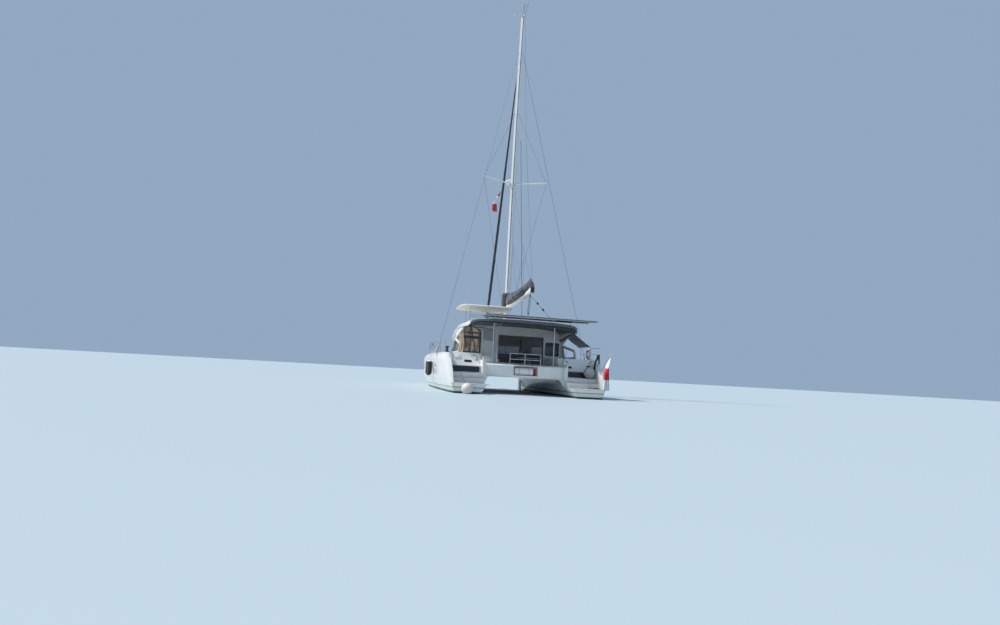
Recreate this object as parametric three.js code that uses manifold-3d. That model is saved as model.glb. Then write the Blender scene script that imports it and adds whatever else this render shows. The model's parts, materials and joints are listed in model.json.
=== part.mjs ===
// A cruising catamaran afloat, in millimetres. +X is starboard, +Y is the bow and +Z is up.
// The origin is on the waterline, amidships, on the centreline between the hulls.
import * as THREE from "three";
import { mergeVertices } from "three/addons/utils/BufferGeometryUtils.js";
import Module from "manifold-3d";

const wasm = await Module();
wasm.setup();

// Driving dimensions
const GAP = 0.3; // between pieces that touch
const STERN_Y = -6350;
const HULL_X = 2780; // centre of each hull's underwater body
const INNER_X = 1850; // inner side of each hull along the bridgedeck
const CHINE_Z = 620;
const DECK_Z = 1790;
const TUNNEL_Z = 780; // underside of the bridgedeck
const SOLE_Z = 1000; // cockpit and saloon floor
const BRIDGE_FRONT_Y = 3050;
const FRONT_WALL_Y = 2450;
const BULKHEAD_Y = -2000; // aft wall of the saloon
const BEAM_AFT_Y = -5250;
const BEAM_FRONT_Y = -4650;
const BEAM_TOP_Z = 1350;
const BENCH_Z = 1400; // seat height of the cockpit benches
const ROOF_Z = 3300;
const WALL = 60;
const HARDTOP_AFT_Y = -5000;
const HARDTOP_X = 2700;
const HARDTOP_Z = 3420;
const HARDTOP_RIM_Z = 3000; // lower edge of its rim
const MAST_Y = -800; // at its foot
const MAST_TOP_Z = 20380;
const HOUNDS_Z = 18390;
const SPREADER_Z = 11060;
const GOOSENECK_Y = -1020;
const PIN_R = 12; // pin of the gooseneck
const BOOM_END_Y = -5850;
const BOOM_Z = 4390;
const BOOM_RISE = 340; // the boom's outer end stands this much higher
const CROSSBEAM_Y = 4810;
const CROSSBEAM_Z = 1760;
const RUDDER_Y = -5450;
const DRIVE_Y = -3900;
const SHAFT_Z = -850;

// Finishes
function finish(color, roughness, metalness = 0, opacity = 1) {
  const see = { transparent: opacity < 1, opacity };
  return new THREE.MeshStandardMaterial({ color, roughness, metalness, ...see });
}
const gelcoat = finish(0xf1f2ee, 0.25);
const bottomPaint = finish(0x16191c, 0.8);
const alloy = finish(0xd9dcdd, 0.35, 0.6);
const steel = finish(0xc9ced1, 0.2, 1);
const bronze = finish(0xa9803f, 0.35, 1);
const tinted = finish(0x10151a, 0.08, 0, 0.55);
const darkPlastic = finish(0x1b1d20, 0.5);
const canvas = finish(0x4d4a4a, 0.9);
const slateCanvas = finish(0x39434e, 0.9);
const teak = finish(0x6d6965, 0.75);
const cushionCloth = finish(0x8d8378, 0.9);
const netting = finish(0xe4e6e4, 0.85);
const vinyl = finish(0xece6d8, 0.5);
const solarGlass = finish(0x0d1322, 0.15);
const joinery = finish(0xb39a78, 0.5);
const redCloth = finish(0xc8202c, 0.85);

// Solids

function solidOf(geometry) {
  const plain = geometry.clone();
  plain.deleteAttribute("normal");
  plain.deleteAttribute("uv");
  const merged = mergeVertices(plain, 1e-3);
  const vertProperties = merged.attributes.position.array;
  const triVerts = new Uint32Array(merged.index.array);
  return new wasm.Manifold(new wasm.Mesh({ numProp: 3, vertProperties, triVerts }));
}

function geometryOf(solid) {
  const mesh = solid.getMesh();
  const geometry = new THREE.BufferGeometry();
  geometry.setAttribute("position", new THREE.BufferAttribute(mesh.vertProperties, 3));
  geometry.setIndex(new THREE.BufferAttribute(mesh.triVerts, 1));
  return geometry;
}

function join(...pieces) {
  return geometryOf(pieces.map(solidOf).reduce((all, piece) => all.add(piece)));
}

function cut(body, ...cutters) {
  const cutBody = cutters.map(solidOf).reduce((left, cutter) => left.subtract(cutter), solidOf(body));
  return geometryOf(cutBody);
}

function common(a, b) {
  return geometryOf(solidOf(a).intersect(solidOf(b)));
}

function moved(geometry, x, y, z) {
  return geometry.clone().translate(x, y, z);
}

// Faces of an indexed geometry turned round
function turned(geometry) {
  const index = geometry.index.array;
  for (let i = 0; i < index.length; i += 3) {
    [index[i + 1], index[i + 2]] = [index[i + 2], index[i + 1]];
  }
  return geometry;
}

// The same shape on the other side of the centreline
function mirrored(geometry) {
  return turned(mergeVertices(geometry.clone().scale(-1, 1, 1), 1e-3));
}

function block(x0, x1, y0, y1, z0, z1) {
  const box = new THREE.BoxGeometry(x1 - x0, y1 - y0, z1 - z0);
  return box.translate((x0 + x1) / 2, (y0 + y1) / 2, (z0 + z1) / 2);
}

// An outline of [x, y] points raised from z0 to z1
function raised(outline, z0, z1) {
  const shape = new THREE.Shape(outline.map(([x, y]) => new THREE.Vector2(x, y)));
  const options = { depth: z1 - z0, bevelEnabled: false, curveSegments: 6 };
  return new THREE.ExtrudeGeometry(shape, options).translate(0, 0, z0);
}

// An outline of [y, z] points carried across from x0 to x1
function across(outline, x0, x1) {
  const turn = new THREE.Matrix4().set(0, 0, 1, 0, 1, 0, 0, 0, 0, 1, 0, 0, 0, 0, 0, 1);
  return raised(outline, x0, x1).applyMatrix4(turn);
}

// An outline of [x, z] points carried along from y0 to y1
function along(outline, y0, y1) {
  const turn = new THREE.Matrix4().set(1, 0, 0, 0, 0, 0, -1, 0, 0, 1, 0, 0, 0, 0, 0, 1);
  return raised(outline, -y1, -y0).applyMatrix4(turn);
}

// A skin over rings of [x, y, z] points, all of one count, closed at both ends
function loft(rings) {
  const count = rings[0].length;
  const points = rings.flat();
  const faces = [];
  for (let r = 0; r + 1 < rings.length; r++) {
    for (let k = 0; k < count; k++) {
      const a = r * count + k;
      const b = r * count + ((k + 1) % count);
      faces.push(a, b, a + count, b, b + count, a + count);
    }
  }
  const last = (rings.length - 1) * count;
  for (const [first, back] of [[0, true], [last, false]]) {
    const middle = points.length;
    const ring = points.slice(first, first + count);
    points.push([0, 1, 2].map((axis) => ring.reduce((sum, p) => sum + p[axis], 0) / count));
    for (let k = 0; k < count; k++) {
      const a = first + k;
      const b = first + ((k + 1) % count);
      if (back) faces.push(b, a, middle);
      else faces.push(a, b, middle);
    }
  }
  const geometry = new THREE.BufferGeometry();
  geometry.setAttribute("position", new THREE.Float32BufferAttribute(points.flat(), 3));
  geometry.setIndex(faces);
  return solidOf(geometry).volume() < 0 ? turned(geometry) : geometry;
}

// A round bar between two points, which may taper
function rod(from, to, radius, sides = 8, endRadius = radius) {
  const a = new THREE.Vector3(...from);
  const b = new THREE.Vector3(...to);
  const way = b.clone().sub(a);
  const bar = new THREE.CylinderGeometry(endRadius, radius, way.length(), sides);
  const up = new THREE.Vector3(0, 1, 0);
  bar.applyQuaternion(new THREE.Quaternion().setFromUnitVectors(up, way.normalize()));
  return bar.translate(...a.add(b).multiplyScalar(0.5).toArray());
}

function ball(centre, radius, sides = 8) {
  return new THREE.SphereGeometry(radius, sides, Math.ceil(sides / 2)).translate(...centre);
}

// Bars through a list of points, with a ball at each bend
function pipe(points, radius, sides = 6) {
  const bars = points.slice(1).map((p, k) => rod(points[k], p, radius, sides));
  const bends = points.slice(1, -1).map((p) => ball(p, radius * 1.03, sides));
  return join(...bars, ...bends);
}

// Points of an ellipse's arc, with the angles in degrees
function arc(cx, cy, rx, ry, from, to, steps) {
  return Array.from({ length: steps + 1 }, (_, k) => {
    const a = THREE.MathUtils.degToRad(from + ((to - from) * k) / steps);
    return [cx + rx * Math.cos(a), cy + ry * Math.sin(a)];
  });
}

// A rectangle with round corners, as [x, y] points
function roundedBox(x0, x1, y0, y1, r, steps = 4) {
  return [
    ...arc(x1 - r, y0 + r, r, r, -90, 0, steps),
    ...arc(x1 - r, y1 - r, r, r, 0, 90, steps),
    ...arc(x0 + r, y1 - r, r, r, 90, 180, steps),
    ...arc(x0 + r, y0 + r, r, r, 180, 270, steps),
  ];
}

const catamaran = new THREE.Group();

function place(name, geometry, material) {
  const mesh = new THREE.Mesh(geometry, material);
  mesh.name = name;
  catamaran.add(mesh);
}

// A starboard piece and its mirror image to port
function placePair(name, geometry, material) {
  place(name + "_starboard", geometry, material);
  place(name + "_port", mirrored(geometry), material);
}

// Hulls

const HULL_STATIONS = [
  // y, outer deck edge, inner deck edge, half beam at the waterline, draught of the bare hull, deck height
  [STERN_Y, 3560, 1790, 560, 110, DECK_Z],
  [-5400, 3700, INNER_X, 640, 300, DECK_Z],
  [-3500, 3830, INNER_X, 690, 480, DECK_Z],
  [-500, 3850, INNER_X, 690, 580, DECK_Z],
  [2000, 3800, INNER_X, 620, 600, DECK_Z],
  [BRIDGE_FRONT_Y, 3720, INNER_X, 540, 590, DECK_Z],
  [4300, 3520, 2080, 410, 560, 1870],
  [5400, 3220, 2380, 240, 490, 1940],
  [6100, 2970, 2620, 110, 400, 1985],
  [6400, 2830, 2730, 35, 300, 2000],
];
const STERN_STEPS = [
  // aft edge, front edge, inboard limit of the well, tread height
  [-6500, -5760, 1700, 450],
  [-5760, -5450, 1700, 680],
  [-5450, -5140, 1990, 900],
  [-5140, -4600, 1990, 1200],
];
const WING_X = 3390; // inner face of the raised outer side at the stern
const WING_TOP = [
  // y, z of the outer side's top edge, down to the swim platform
  [-4600, 1790],
  [-5100, 1560],
  [-5500, 1290],
  [-5900, 990],
  [-6150, 720],
  [-6330, 450],
];
const WELL_FRONT = { y: -4600, rake: 240 }; // the wall over the upper tread, and how far its foot stands out
const GATE = { top: 2110, foot: 1930, y: -4330, z: 1350 }; // the way from the steps into the cockpit
const BILGE_STEPS = 8;

function hullRing([y, outer, inner, beam, draught, deck]) {
  const shoulder = Math.min(330, (outer - inner) * 0.3); // round of the gunwale
  const innerWaterline = HULL_X - beam;
  const outline = [
    ...arc(HULL_X, 0, beam, draught, 180, 360, BILGE_STEPS),
    [outer - 0.1 * (outer - HULL_X), CHINE_Z * 0.75],
    ...arc(outer - shoulder, deck - 400, shoulder, 400, 0, 90, 4),
    [inner, deck],
    [inner, 700],
    [inner + 0.45 * Math.max(innerWaterline - inner, 0), 320],
  ];
  return outline.map(([x, z]) => [x, y, z]);
}

function hull() {
  const wells = STERN_STEPS.slice(0, 3).map(([aft, front, inboard, tread]) =>
    block(inboard, WING_X, aft, front, tread, 2200));
  const riserSlot = block(2080, 3300, -5200, -5080, 935, 1165);
  const wingSlope = across([[-6500, 450], [-6500, 2200], [WELL_FRONT.y, 2200], ...WING_TOP], 3000, 4000);
  const gate = along(
    [[1700, GATE.z], [GATE.foot, GATE.z], [GATE.top, DECK_Z], [GATE.top, 2200], [1700, 2200]], -6500, GATE.y);
  const stockBore = rod([HULL_X, RUDDER_Y, -900], [HULL_X, RUDDER_Y, 100], 41, 16);
  const hollows = [...wells, riserSlot, wingSlope, gate, stockBore];
  return cut(loft(HULL_STATIONS.map(hullRing)), ...hollows, upperWell());
}

// The well over the upper tread, whose front wall leans forward as it rises
function upperWell() {
  const { y, rake } = WELL_FRONT;
  const [aft, , inboard, tread] = STERN_STEPS[3];
  return across([[aft, tread], [aft, 2200], [y, 2200], [y, DECK_Z], [y - rake, tread]], inboard, WING_X);
}

const KEEL_LEVELS = [
  // z, aft edge, front edge, half thickness
  [-400, -1350, 1550, 175],
  [-800, -1250, 1350, 150],
  [-1250, -1050, 1050, 110],
];

const FOIL_SIDE = [
  // share of the chord behind the front edge, share of the half thickness
  [0.06, 0.55],
  [0.114, 0.93],
  [0.3, 1],
  [0.65, 0.75],
];
const TAIL_HALF = 6; // half thickness of a blunt trailing edge

function foil([z, aft, front, half]) {
  const side = FOIL_SIDE.map(([back, thick]) => [thick * half, front - (front - aft) * back]);
  const other = [...side].reverse().map(([x, y]) => [-x, y]);
  const outline = [[0, front], ...side, [TAIL_HALF, aft], [-TAIL_HALF, aft], ...other];
  return outline.map(([x, y]) => [HULL_X + x, y, z]);
}

function keel() {
  return loft(KEEL_LEVELS.map(foil));
}

const RUDDER_LEVELS = [
  // z, aft edge, front edge, half thickness
  [-370, -5690, -5300, 42],
  [-1080, -5640, -5330, 26],
];

function rudder() {
  const stock = rod([HULL_X, RUDDER_Y, -400], [HULL_X, RUDDER_Y, 95], 40, 16);
  return join(loft(RUDDER_LEVELS.map(foil)), stock);
}

function saildrive(hullBody) {
  const leg = loft([[-350, -4030, -3760, 60], [SHAFT_Z + 60, -4000, -3800, 48]].map(foil));
  const gearcase = new THREE.LatheGeometry(
    [[0, 0], [52, 0], [66, 90], [64, 230], [40, 330], [0, 360]].map(([r, h]) => new THREE.Vector2(r, h)), 12);
  gearcase.translate(HULL_X, DRIVE_Y - 130, SHAFT_Z);
  const shaft = rod([HULL_X, DRIVE_Y - 210, SHAFT_Z], [HULL_X, DRIVE_Y - 60, SHAFT_Z], 14, 12);
  return cut(join(leg, gearcase, shaft), moved(hullBody, 0, 0, -GAP));
}

function propeller() {
  const hubAft = DRIVE_Y - 290;
  const hub = new THREE.LatheGeometry(
    [[0, 0], [28, 8], [50, 80], [52, 154], [0, 154]].map(([r, h]) => new THREE.Vector2(r, h)), 12);
  hub.translate(HULL_X, hubAft, SHAFT_Z);
  const blades = [0, 120, 240].map((turn) => {
    const blade = raised(roundedBox(-58, 58, 20, 215, 50), -5, 5);
    blade.rotateY(THREE.MathUtils.degToRad(32)).rotateX(Math.PI / 2);
    return blade.rotateY(THREE.MathUtils.degToRad(turn)).translate(HULL_X, hubAft + 90, SHAFT_Z);
  });
  const bore = rod([HULL_X, DRIVE_Y - 212, SHAFT_Z], [HULL_X, DRIVE_Y, SHAFT_Z], 15, 12);
  return cut(join(hub, ...blades), bore);
}

const starboardHull = join(hull(), keel());
placePair("hull", starboardHull, gelcoat);
placePair("rudder", rudder(), bottomPaint);
placePair("saildrive", saildrive(starboardHull), bottomPaint);
placePair("propeller", propeller(), bronze);

// Bridgedeck and the beam across the stern

const DECK_FIT_X = INNER_X - GAP;

function bridgedeck() {
  const profile = [
    [BEAM_FRONT_Y + GAP, TUNNEL_Z],
    [1700, TUNNEL_Z],
    [2500, 880],
    [BRIDGE_FRONT_Y, 1180],
    [BRIDGE_FRONT_Y, DECK_Z],
    [FRONT_WALL_Y - 150, DECK_Z],
    [FRONT_WALL_Y - 150, SOLE_Z],
    [BEAM_FRONT_Y + GAP, SOLE_Z],
  ];
  const portBench = block(-DECK_FIT_X, -1250, -4600, -3420, SOLE_Z - 20, BENCH_Z);
  const starboardBench = block(1350, DECK_FIT_X, -4600, -2500, SOLE_Z - 20, BENCH_Z);
  return join(across(profile, -DECK_FIT_X, DECK_FIT_X), portBench, starboardBench);
}

const RAFT_BAY = { x0: -520, x1: 620, z0: 880, z1: 1300, depth: 480 };

// The beam, with a gusset down to each hull under its ends
function aftBeam(hullBody) {
  const profile = [
    [BEAM_AFT_Y, TUNNEL_Z + 60],
    [BEAM_AFT_Y + 60, TUNNEL_Z],
    [BEAM_FRONT_Y, TUNNEL_Z],
    [BEAM_FRONT_Y, BEAM_TOP_Z],
    [BEAM_AFT_Y + 40, BEAM_TOP_Z],
    [BEAM_AFT_Y, BEAM_TOP_Z - 50],
  ];
  const { x0, x1, z0, z1, depth } = RAFT_BAY;
  const bay = block(x0, x1, BEAM_AFT_Y - 100, BEAM_AFT_Y + depth, z0, z1);
  const beam = cut(across(profile, -DECK_FIT_X, DECK_FIT_X), bay);
  const fillet = [[2000, 480], ...arc(1540, 480, 310, 310, 0, 90, 4), [1540, 800], [2000, 800]];
  const gusset = cut(along(fillet, BEAM_AFT_Y + 20, BEAM_FRONT_Y), moved(hullBody, -GAP, 0, 0));
  return join(beam, gusset, mirrored(gusset));
}

place("bridgedeck", bridgedeck(), gelcoat);
place("aft_beam", aftBeam(starboardHull), gelcoat);

// Coachroof, a hollow shell with its windows cut

const ROOF_LEVELS = [
  // z, half width aft, half width at the front, front y, corner radius; the third is the brow over the windows
  [DECK_Z + GAP, 2930, 2330, FRONT_WALL_Y, 700],
  [2500, 2790, 2190, 2230, 700],
  [2590, 2930, 2330, 2330, 700],
  [2950, 2800, 2150, 2080, 680],
  [3160, 2620, 1950, 1750, 640],
  [ROOF_Z, 2300, 1560, 1330, 520],
];
const ROOF_WAIST_Y = -600; // from here the sides close in faster towards the front
const ROOF_TAPER = 230; // how much narrower each side is there than at the aft end
const LEAST_CORNER = 60;

// The coachroof's outside, or the same drawn in by an inset, with its foot lowered to cut right through
function roofSolid(inset = 0, aftY = BULKHEAD_Y, footDrop = 0) {
  const last = ROOF_LEVELS.length - 1;
  const rings = ROOF_LEVELS.map(([z, aftHalf, frontHalf, frontY, r], level) => {
    const drop = { 0: footDrop, [last]: inset }[level] ?? 0;
    const corner = Math.max(r - inset, LEAST_CORNER);
    const wide = aftHalf - inset;
    const waist = wide - ROOF_TAPER;
    const narrow = frontHalf - inset;
    const front = frontY - inset;
    const outline = [
      [wide, aftY],
      [waist, ROOF_WAIST_Y],
      ...arc(narrow - corner, front - corner, corner, corner, 0, 90, 5),
      ...arc(corner - narrow, front - corner, corner, corner, 90, 180, 5),
      [-waist, ROOF_WAIST_Y],
      [-wide, aftY],
    ];
    return outline.map(([x, y]) => [x, y, z - drop]);
  });
  return loft(rings);
}

const SIDE_WINDOW = { y0: -1550, y1: 1750, z0: 2040, z1: 2470 };
const FRONT_WINDOW = { x: 1650, z0: 2060, z1: 2470 };

function sideWindowBlock(shrink) {
  const { y0, y1, z0, z1 } = SIDE_WINDOW;
  return block(1900, 3100, y0 + shrink, y1 - shrink, z0 + shrink, z1 - shrink);
}

function frontWindowBlock(shrink) {
  const { x, z0, z1 } = FRONT_WINDOW;
  return block(shrink - x, x - shrink, 1300, 2700, z0 + shrink, z1 - shrink);
}

function coachroof() {
  const inside = roofSolid(WALL, BULKHEAD_Y - 200, 20);
  const sideWindows = [sideWindowBlock(0), mirrored(sideWindowBlock(0))];
  return cut(roofSolid(), inside, ...sideWindows, frontWindowBlock(0));
}

// A pane 12 thick, set 10 into its window
function pane(windowBlock) {
  const skin = cut(roofSolid(10), roofSolid(22, BULKHEAD_Y - 200, 20));
  return common(skin, windowBlock);
}

place("coachroof", coachroof(), gelcoat);
placePair("side_window", pane(sideWindowBlock(GAP)), tinted);
place("front_window", pane(frontWindowBlock(GAP)), tinted);

// Aft wall of the saloon with its sliding door

const DOORWAY = { x0: -560, x1: 1720, z0: 1050, z1: 2850 };
const DOOR_SPLIT_X = 590;
const DOOR_THICK = 40;

// The wall fills the coachroof's aft end and meets the underside of the hardtop
function bulkhead(roof) {
  const edge = ROOF_LEVELS.map(([z, half]) => [half - 5, z]);
  const outline = [
    [-DECK_FIT_X, SOLE_Z + GAP],
    [DECK_FIT_X, SOLE_Z + GAP],
    [DECK_FIT_X, DECK_Z + GAP],
    ...edge,
    ...edge.map(([x, z]) => [-x, z]).reverse(),
    [-DECK_FIT_X, DECK_Z + GAP],
  ];
  const { x0, x1, z0, z1 } = DOORWAY;
  const wall = along(outline, BULKHEAD_Y - GAP - WALL, BULKHEAD_Y - GAP);
  const doorway = block(x0, x1, -2200, -1900, z0, z1);
  const galleyWindow = block(1900, 2600, -2200, -1900, 1950, 2600);
  const track = (low, high) => block(x0 - 60, x1 + 60, BULKHEAD_Y - 118, BULKHEAD_Y - 40, low, high);
  const tracks = [track(SOLE_Z + GAP, z0), track(z1, z1 + 50)];
  return join(cut(wall, doorway, galleyWindow, moved(roof, 0, 0, -GAP)), ...tracks);
}

// A glazed door leaf: a frame, with its glass as a thinner sheet that the frame holds
function doorLeaf(x0, x1, y) {
  const { z0, z1 } = DOORWAY;
  const rim = 55;
  const leaf = block(x0, x1, y, y + DOOR_THICK, z0 + GAP, z1 - GAP);
  const opening = block(x0 + rim, x1 - rim, y - 10, y + DOOR_THICK + 10, z0 + rim, z1 - rim);
  const glass = block(x0 + rim - 5, x1 - rim + 5, y + 14, y + 26, z0 + rim - 5, z1 - rim + 5);
  return join(cut(leaf, opening), glass);
}

place("door_fixed_pane", doorLeaf(DOORWAY.x0 + GAP, DOOR_SPLIT_X, BULKHEAD_Y - 52), tinted);
place("sliding_door", doorLeaf(DOOR_SPLIT_X - 40, DOORWAY.x1 + 40, BULKHEAD_Y - WALL - 6 - DOOR_THICK), tinted);

// Hardtop over the cockpit, its side wings and its posts

const HELM_HATCH = { x0: -2300, x1: -850, y0: -3300, y1: -2150 };

function hardtop() {
  const outer = [
    [HARDTOP_X, HARDTOP_RIM_Z],
    [HARDTOP_X, 3070],
    [2640, 3180],
    [2500, 3275],
    [2150, 3355],
    [1400, 3405],
    [0, HARDTOP_Z],
  ];
  const inner = [
    [0, 3290],
    [1500, 3275],
    [2200, 3230],
    [2480, 3150],
    [2600, 3060],
    [2620, HARDTOP_RIM_Z],
  ];
  const mirror = (points) => points.map(([x, z]) => [-x, z]).reverse();
  const profile = [...outer, ...mirror(outer).slice(1), ...mirror(inner), ...inner.slice(1)];
  const slab = along(profile, HARDTOP_AFT_Y, BULKHEAD_Y - GAP);
  const plan = raised(roundedBox(-HARDTOP_X - 1, HARDTOP_X + 1, HARDTOP_AFT_Y, 0, 480), 2900, 3500);
  const { x0, x1, y0, y1 } = HELM_HATCH;
  const hatch = raised(roundedBox(x0, x1, y0, y1, 180), 2900, 3500);
  return cut(common(slab, plan), hatch);
}

// Leans a piece inwards with its height over the deck, as the cockpit's sides do
const LEAN = 0.198;

function leaning(geometry) {
  const shear = new THREE.Matrix4().set(1, 0, -LEAN, LEAN * DECK_Z, 0, 1, 0, 0, 0, 0, 1, 0, 0, 0, 0, 1);
  return geometry.clone().applyMatrix4(shear);
}

// The side of the cockpit: a low wing with a window, a slanting gap, and a brace under the hardtop
function sideWing() {
  const front = BULKHEAD_Y - WALL - 2 * GAP;
  const profile = [
    [front, DECK_Z + GAP],
    [-3880, DECK_Z + GAP],
    ...arc(-3700, 2040, 250, 230, 200, 90, 5),
    [-2300, 2520],
    [-2300, 2580],
    [-3650, 2960],
    [-3650, HARDTOP_RIM_Z - GAP],
    [front, HARDTOP_RIM_Z - GAP],
  ];
  const window = across(
    [[-2180, 1880], [-3640, 1880], ...arc(-3640, 2040, 190, 150, 230, 90, 5), [-2180, 2420]], 2700, 3100);
  return leaning(cut(across(profile, 2868, 2930), window));
}

const POST_X = 1450;
const POST_Y = -4850;

function post(roof) {
  return cut(rod([POST_X, POST_Y, BEAM_TOP_Z + GAP], [POST_X, POST_Y, 3360], 28, 12), moved(roof, 0, 0, -GAP));
}

const roofOverCockpit = hardtop();
place("aft_bulkhead", bulkhead(roofOverCockpit), gelcoat);
place("hardtop", roofOverCockpit, gelcoat);
placePair("side_wing", sideWing(), gelcoat);
placePair("hardtop_post", post(roofOverCockpit), steel);

// Solar rack over the aft edge of the hardtop

const RACK = { x0: -1930, x1: 3350, y0: -5450, y1: -4250, z: 3540 };
const RACK_LEGS = [
  // x, height inside the hardtop where the leg starts
  [-1400, 3330],
  [1400, 3330],
  [2400, 3220],
];

function solarPanel() {
  return block(RACK.x0, RACK.x1, RACK.y0, RACK.y1, RACK.z + GAP, RACK.z + 36);
}

function rackFrame(roof) {
  const { x0, x1, y0, y1, z } = RACK;
  const rails = [y0 + 100, y1 - 100].map((y) => block(x0 + 40, x1 - 40, y - 20, y + 20, z - 40, z));
  const ties = [0, ...RACK_LEGS.map(([x]) => x)].map((x) => block(x - 20, x + 20, y0 + 60, y1 - 60, z - 40, z));
  const legs = RACK_LEGS.flatMap(([x, foot]) => [-4850, -4350].map((y) =>
    rod([x, y, foot], [x, y, z - 20], 18, 8)));
  return cut(join(...rails, ...ties, ...legs), moved(roof, 0, 0, GAP));
}

place("solar_panel", solarPanel(), solarGlass);
place("solar_rack", rackFrame(roofOverCockpit), alloy);

// Helm station to port, raised so that the helmsman looks over the coachroof

const HELM = { x0: -2300, x1: -900, floorZ: 1900 };
const WHEEL = { x: -1600, y: -2420, z: 2760, r: 380 };

function helmPlatform() {
  const { x0, x1, floorZ } = HELM;
  const base = block(x0, x1, -3350, BULKHEAD_Y - WALL - 2 * GAP, DECK_Z + GAP, floorZ);
  const leg = block(-DECK_FIT_X, x1, -3350, BULKHEAD_Y - WALL - 2 * GAP, SOLE_Z + GAP, floorZ);
  const steps = [[1300, -700], [1600, -800]].map(([z, x]) =>
    block(-DECK_FIT_X, x, -3350, -2700, SOLE_Z + GAP, z));
  return join(base, leg, ...steps);
}

function helmConsole() {
  const profile = [[-2320, HELM.floorZ - 20], [-2290, 2700], [-2230, 3000], [-2070, 3060], [-2070, HELM.floorZ - 20]];
  const shaftBore = rod([WHEEL.x, -2400, WHEEL.z], [WHEEL.x, -2180, WHEEL.z], 17, 16);
  return cut(across(profile, -2150, -1050), shaftBore);
}

function helmSeat() {
  const profile = [
    [-2950, HELM.floorZ - 20], [-2950, 2420], [-3180, 2460], [-3230, 2900], [-3300, 2900], [-3300, HELM.floorZ - 20]];
  return across(profile, -2150, -1050);
}

function steeringWheel() {
  const rim = new THREE.TorusGeometry(WHEEL.r, 17, 8, 28);
  const spokes = [0, 60, 120].map((turn) => {
    const bar = new THREE.CylinderGeometry(9, 9, 2 * WHEEL.r, 8);
    return bar.rotateZ(THREE.MathUtils.degToRad(turn));
  });
  const hub = new THREE.CylinderGeometry(45, 45, 50, 12).rotateX(Math.PI / 2);
  const shaft = new THREE.CylinderGeometry(16, 16, 190, 12).rotateX(Math.PI / 2).translate(0, 0, -110);
  const wheel = join(rim, ...spokes, hub, shaft);
  return wheel.rotateX(Math.PI / 2).translate(WHEEL.x, WHEEL.y, WHEEL.z);
}

place("helm_station", join(helmPlatform(), helmConsole(), helmSeat()), gelcoat);
place("steering_wheel", steeringWheel(), steel);

const BIMINI_LEVELS = [
  // z, how far the outline is drawn in
  [3930, 0],
  [3970, 0],
  [4005, 60],
  [4020, 330],
];
const BIMINI = { x0: -2880, x1: -330, y0: -4000, y1: -2050, r: 420 };
const BIMINI_SHELL = { wall: 60, top: 36 };
const BIMINI_TILT = 0.04; // rise for each step aft
const BIMINI_TIE_Z = 3640;

const biminiLift = (y) => BIMINI_TILT * (BIMINI.y1 - y);

function biminiSolid(inset, footDrop, topDrop) {
  return loft(BIMINI_LEVELS.map(([z, draw], level) => {
    const d = draw + inset;
    const outline = roundedBox(BIMINI.x0 + d, BIMINI.x1 - d, BIMINI.y0 + d, BIMINI.y1 - d, BIMINI.r);
    return outline.map(([x, y]) => [x, y, z + biminiLift(y) - (level ? topDrop : footDrop)]);
  }));
}

const BIMINI_LEGS = [
  // x, y, height inside the hardtop where the leg starts
  [-2370, -3600, 3210],
  [-570, -3600, 3350],
  [-2370, -2420, 3210],
  [-570, -2420, 3350],
];

function biminiPosts(roof, canopy) {
  const uprights = BIMINI_LEGS.map(([x, y, foot]) => rod([x, y, foot], [x, y, 4000 + biminiLift(y)], 16, 8));
  const ties = [[0, 1], [2, 3], [0, 2], [1, 3]].map((pair) => {
    const [from, to] = pair.map((k) => [BIMINI_LEGS[k][0], BIMINI_LEGS[k][1], BIMINI_TIE_Z]);
    return rod(from, to, 14, 8);
  });
  return cut(join(...uprights, ...ties), moved(roof, 0, 0, GAP), moved(canopy, 0, 0, -GAP));
}

const helmCanopy = cut(biminiSolid(0, 0, 0), biminiSolid(BIMINI_SHELL.wall, 20, BIMINI_SHELL.top));
place("helm_bimini", helmCanopy, gelcoat);
place("helm_bimini_frame", biminiPosts(roofOverCockpit, helmCanopy), steel);

// Mast, spreaders and main stays

const MAST_HALF = { x: 92, y: 150 };

const MAST_LENGTHS = 6; // straight lengths that follow its bend

// The middle of the mast: it bows a little forward at half height and bends back at the top
function mastY(z) {
  const bent = (k) => {
    const t = k / MAST_LENGTHS;
    return MAST_Y + 450 * t - 800 * t * t;
  };
  const along = (MAST_LENGTHS * (z - ROOF_Z)) / (MAST_TOP_Z - ROOF_Z);
  const below = Math.min(Math.floor(along), MAST_LENGTHS - 1);
  return bent(below) + (bent(below + 1) - bent(below)) * (along - below);
}

const SPREADER_TIP = { x: 1700, y: -1450 };
const CHAINPLATE = { x: 3770, y: -2950, z: 1660 };

function spreader() {
  const root = [MAST_HALF.x - 20, mastY(SPREADER_Z) - 40, SPREADER_Z];
  return rod(root, [SPREADER_TIP.x, SPREADER_TIP.y, SPREADER_Z + 60], 44, 10, 26);
}

function capShroud() {
  const foot = new THREE.Vector3(CHAINPLATE.x, CHAINPLATE.y, CHAINPLATE.z - 60);
  const head = new THREE.Vector3(105, mastY(HOUNDS_Z) - 20, HOUNDS_Z);
  const turnbuckleTop = foot.clone().lerp(head, 0.03);
  const wire = rod(foot.toArray(), head.toArray(), 7, 6);
  const turnbuckle = rod(foot.toArray(), turnbuckleTop.toArray(), 16, 8);
  return cut(join(wire, turnbuckle), moved(starboardHull, 0, 0, GAP));
}

// One side's bracing wires, from the mast foot and the upper mast to the spreader's end
function diamondStays() {
  const end = (x, z) => [SPREADER_TIP.x - x, SPREADER_TIP.y, SPREADER_Z + z];
  const onMast = (z) => [MAST_HALF.x - 40, mastY(z) - 56, z];
  return join(rod(onMast(ROOF_Z + 130), end(9, 53), 6, 6), rod(onMast(15000), end(21, 69), 6, 6));
}

const DOME_Z = SPREADER_Z + 150;

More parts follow.
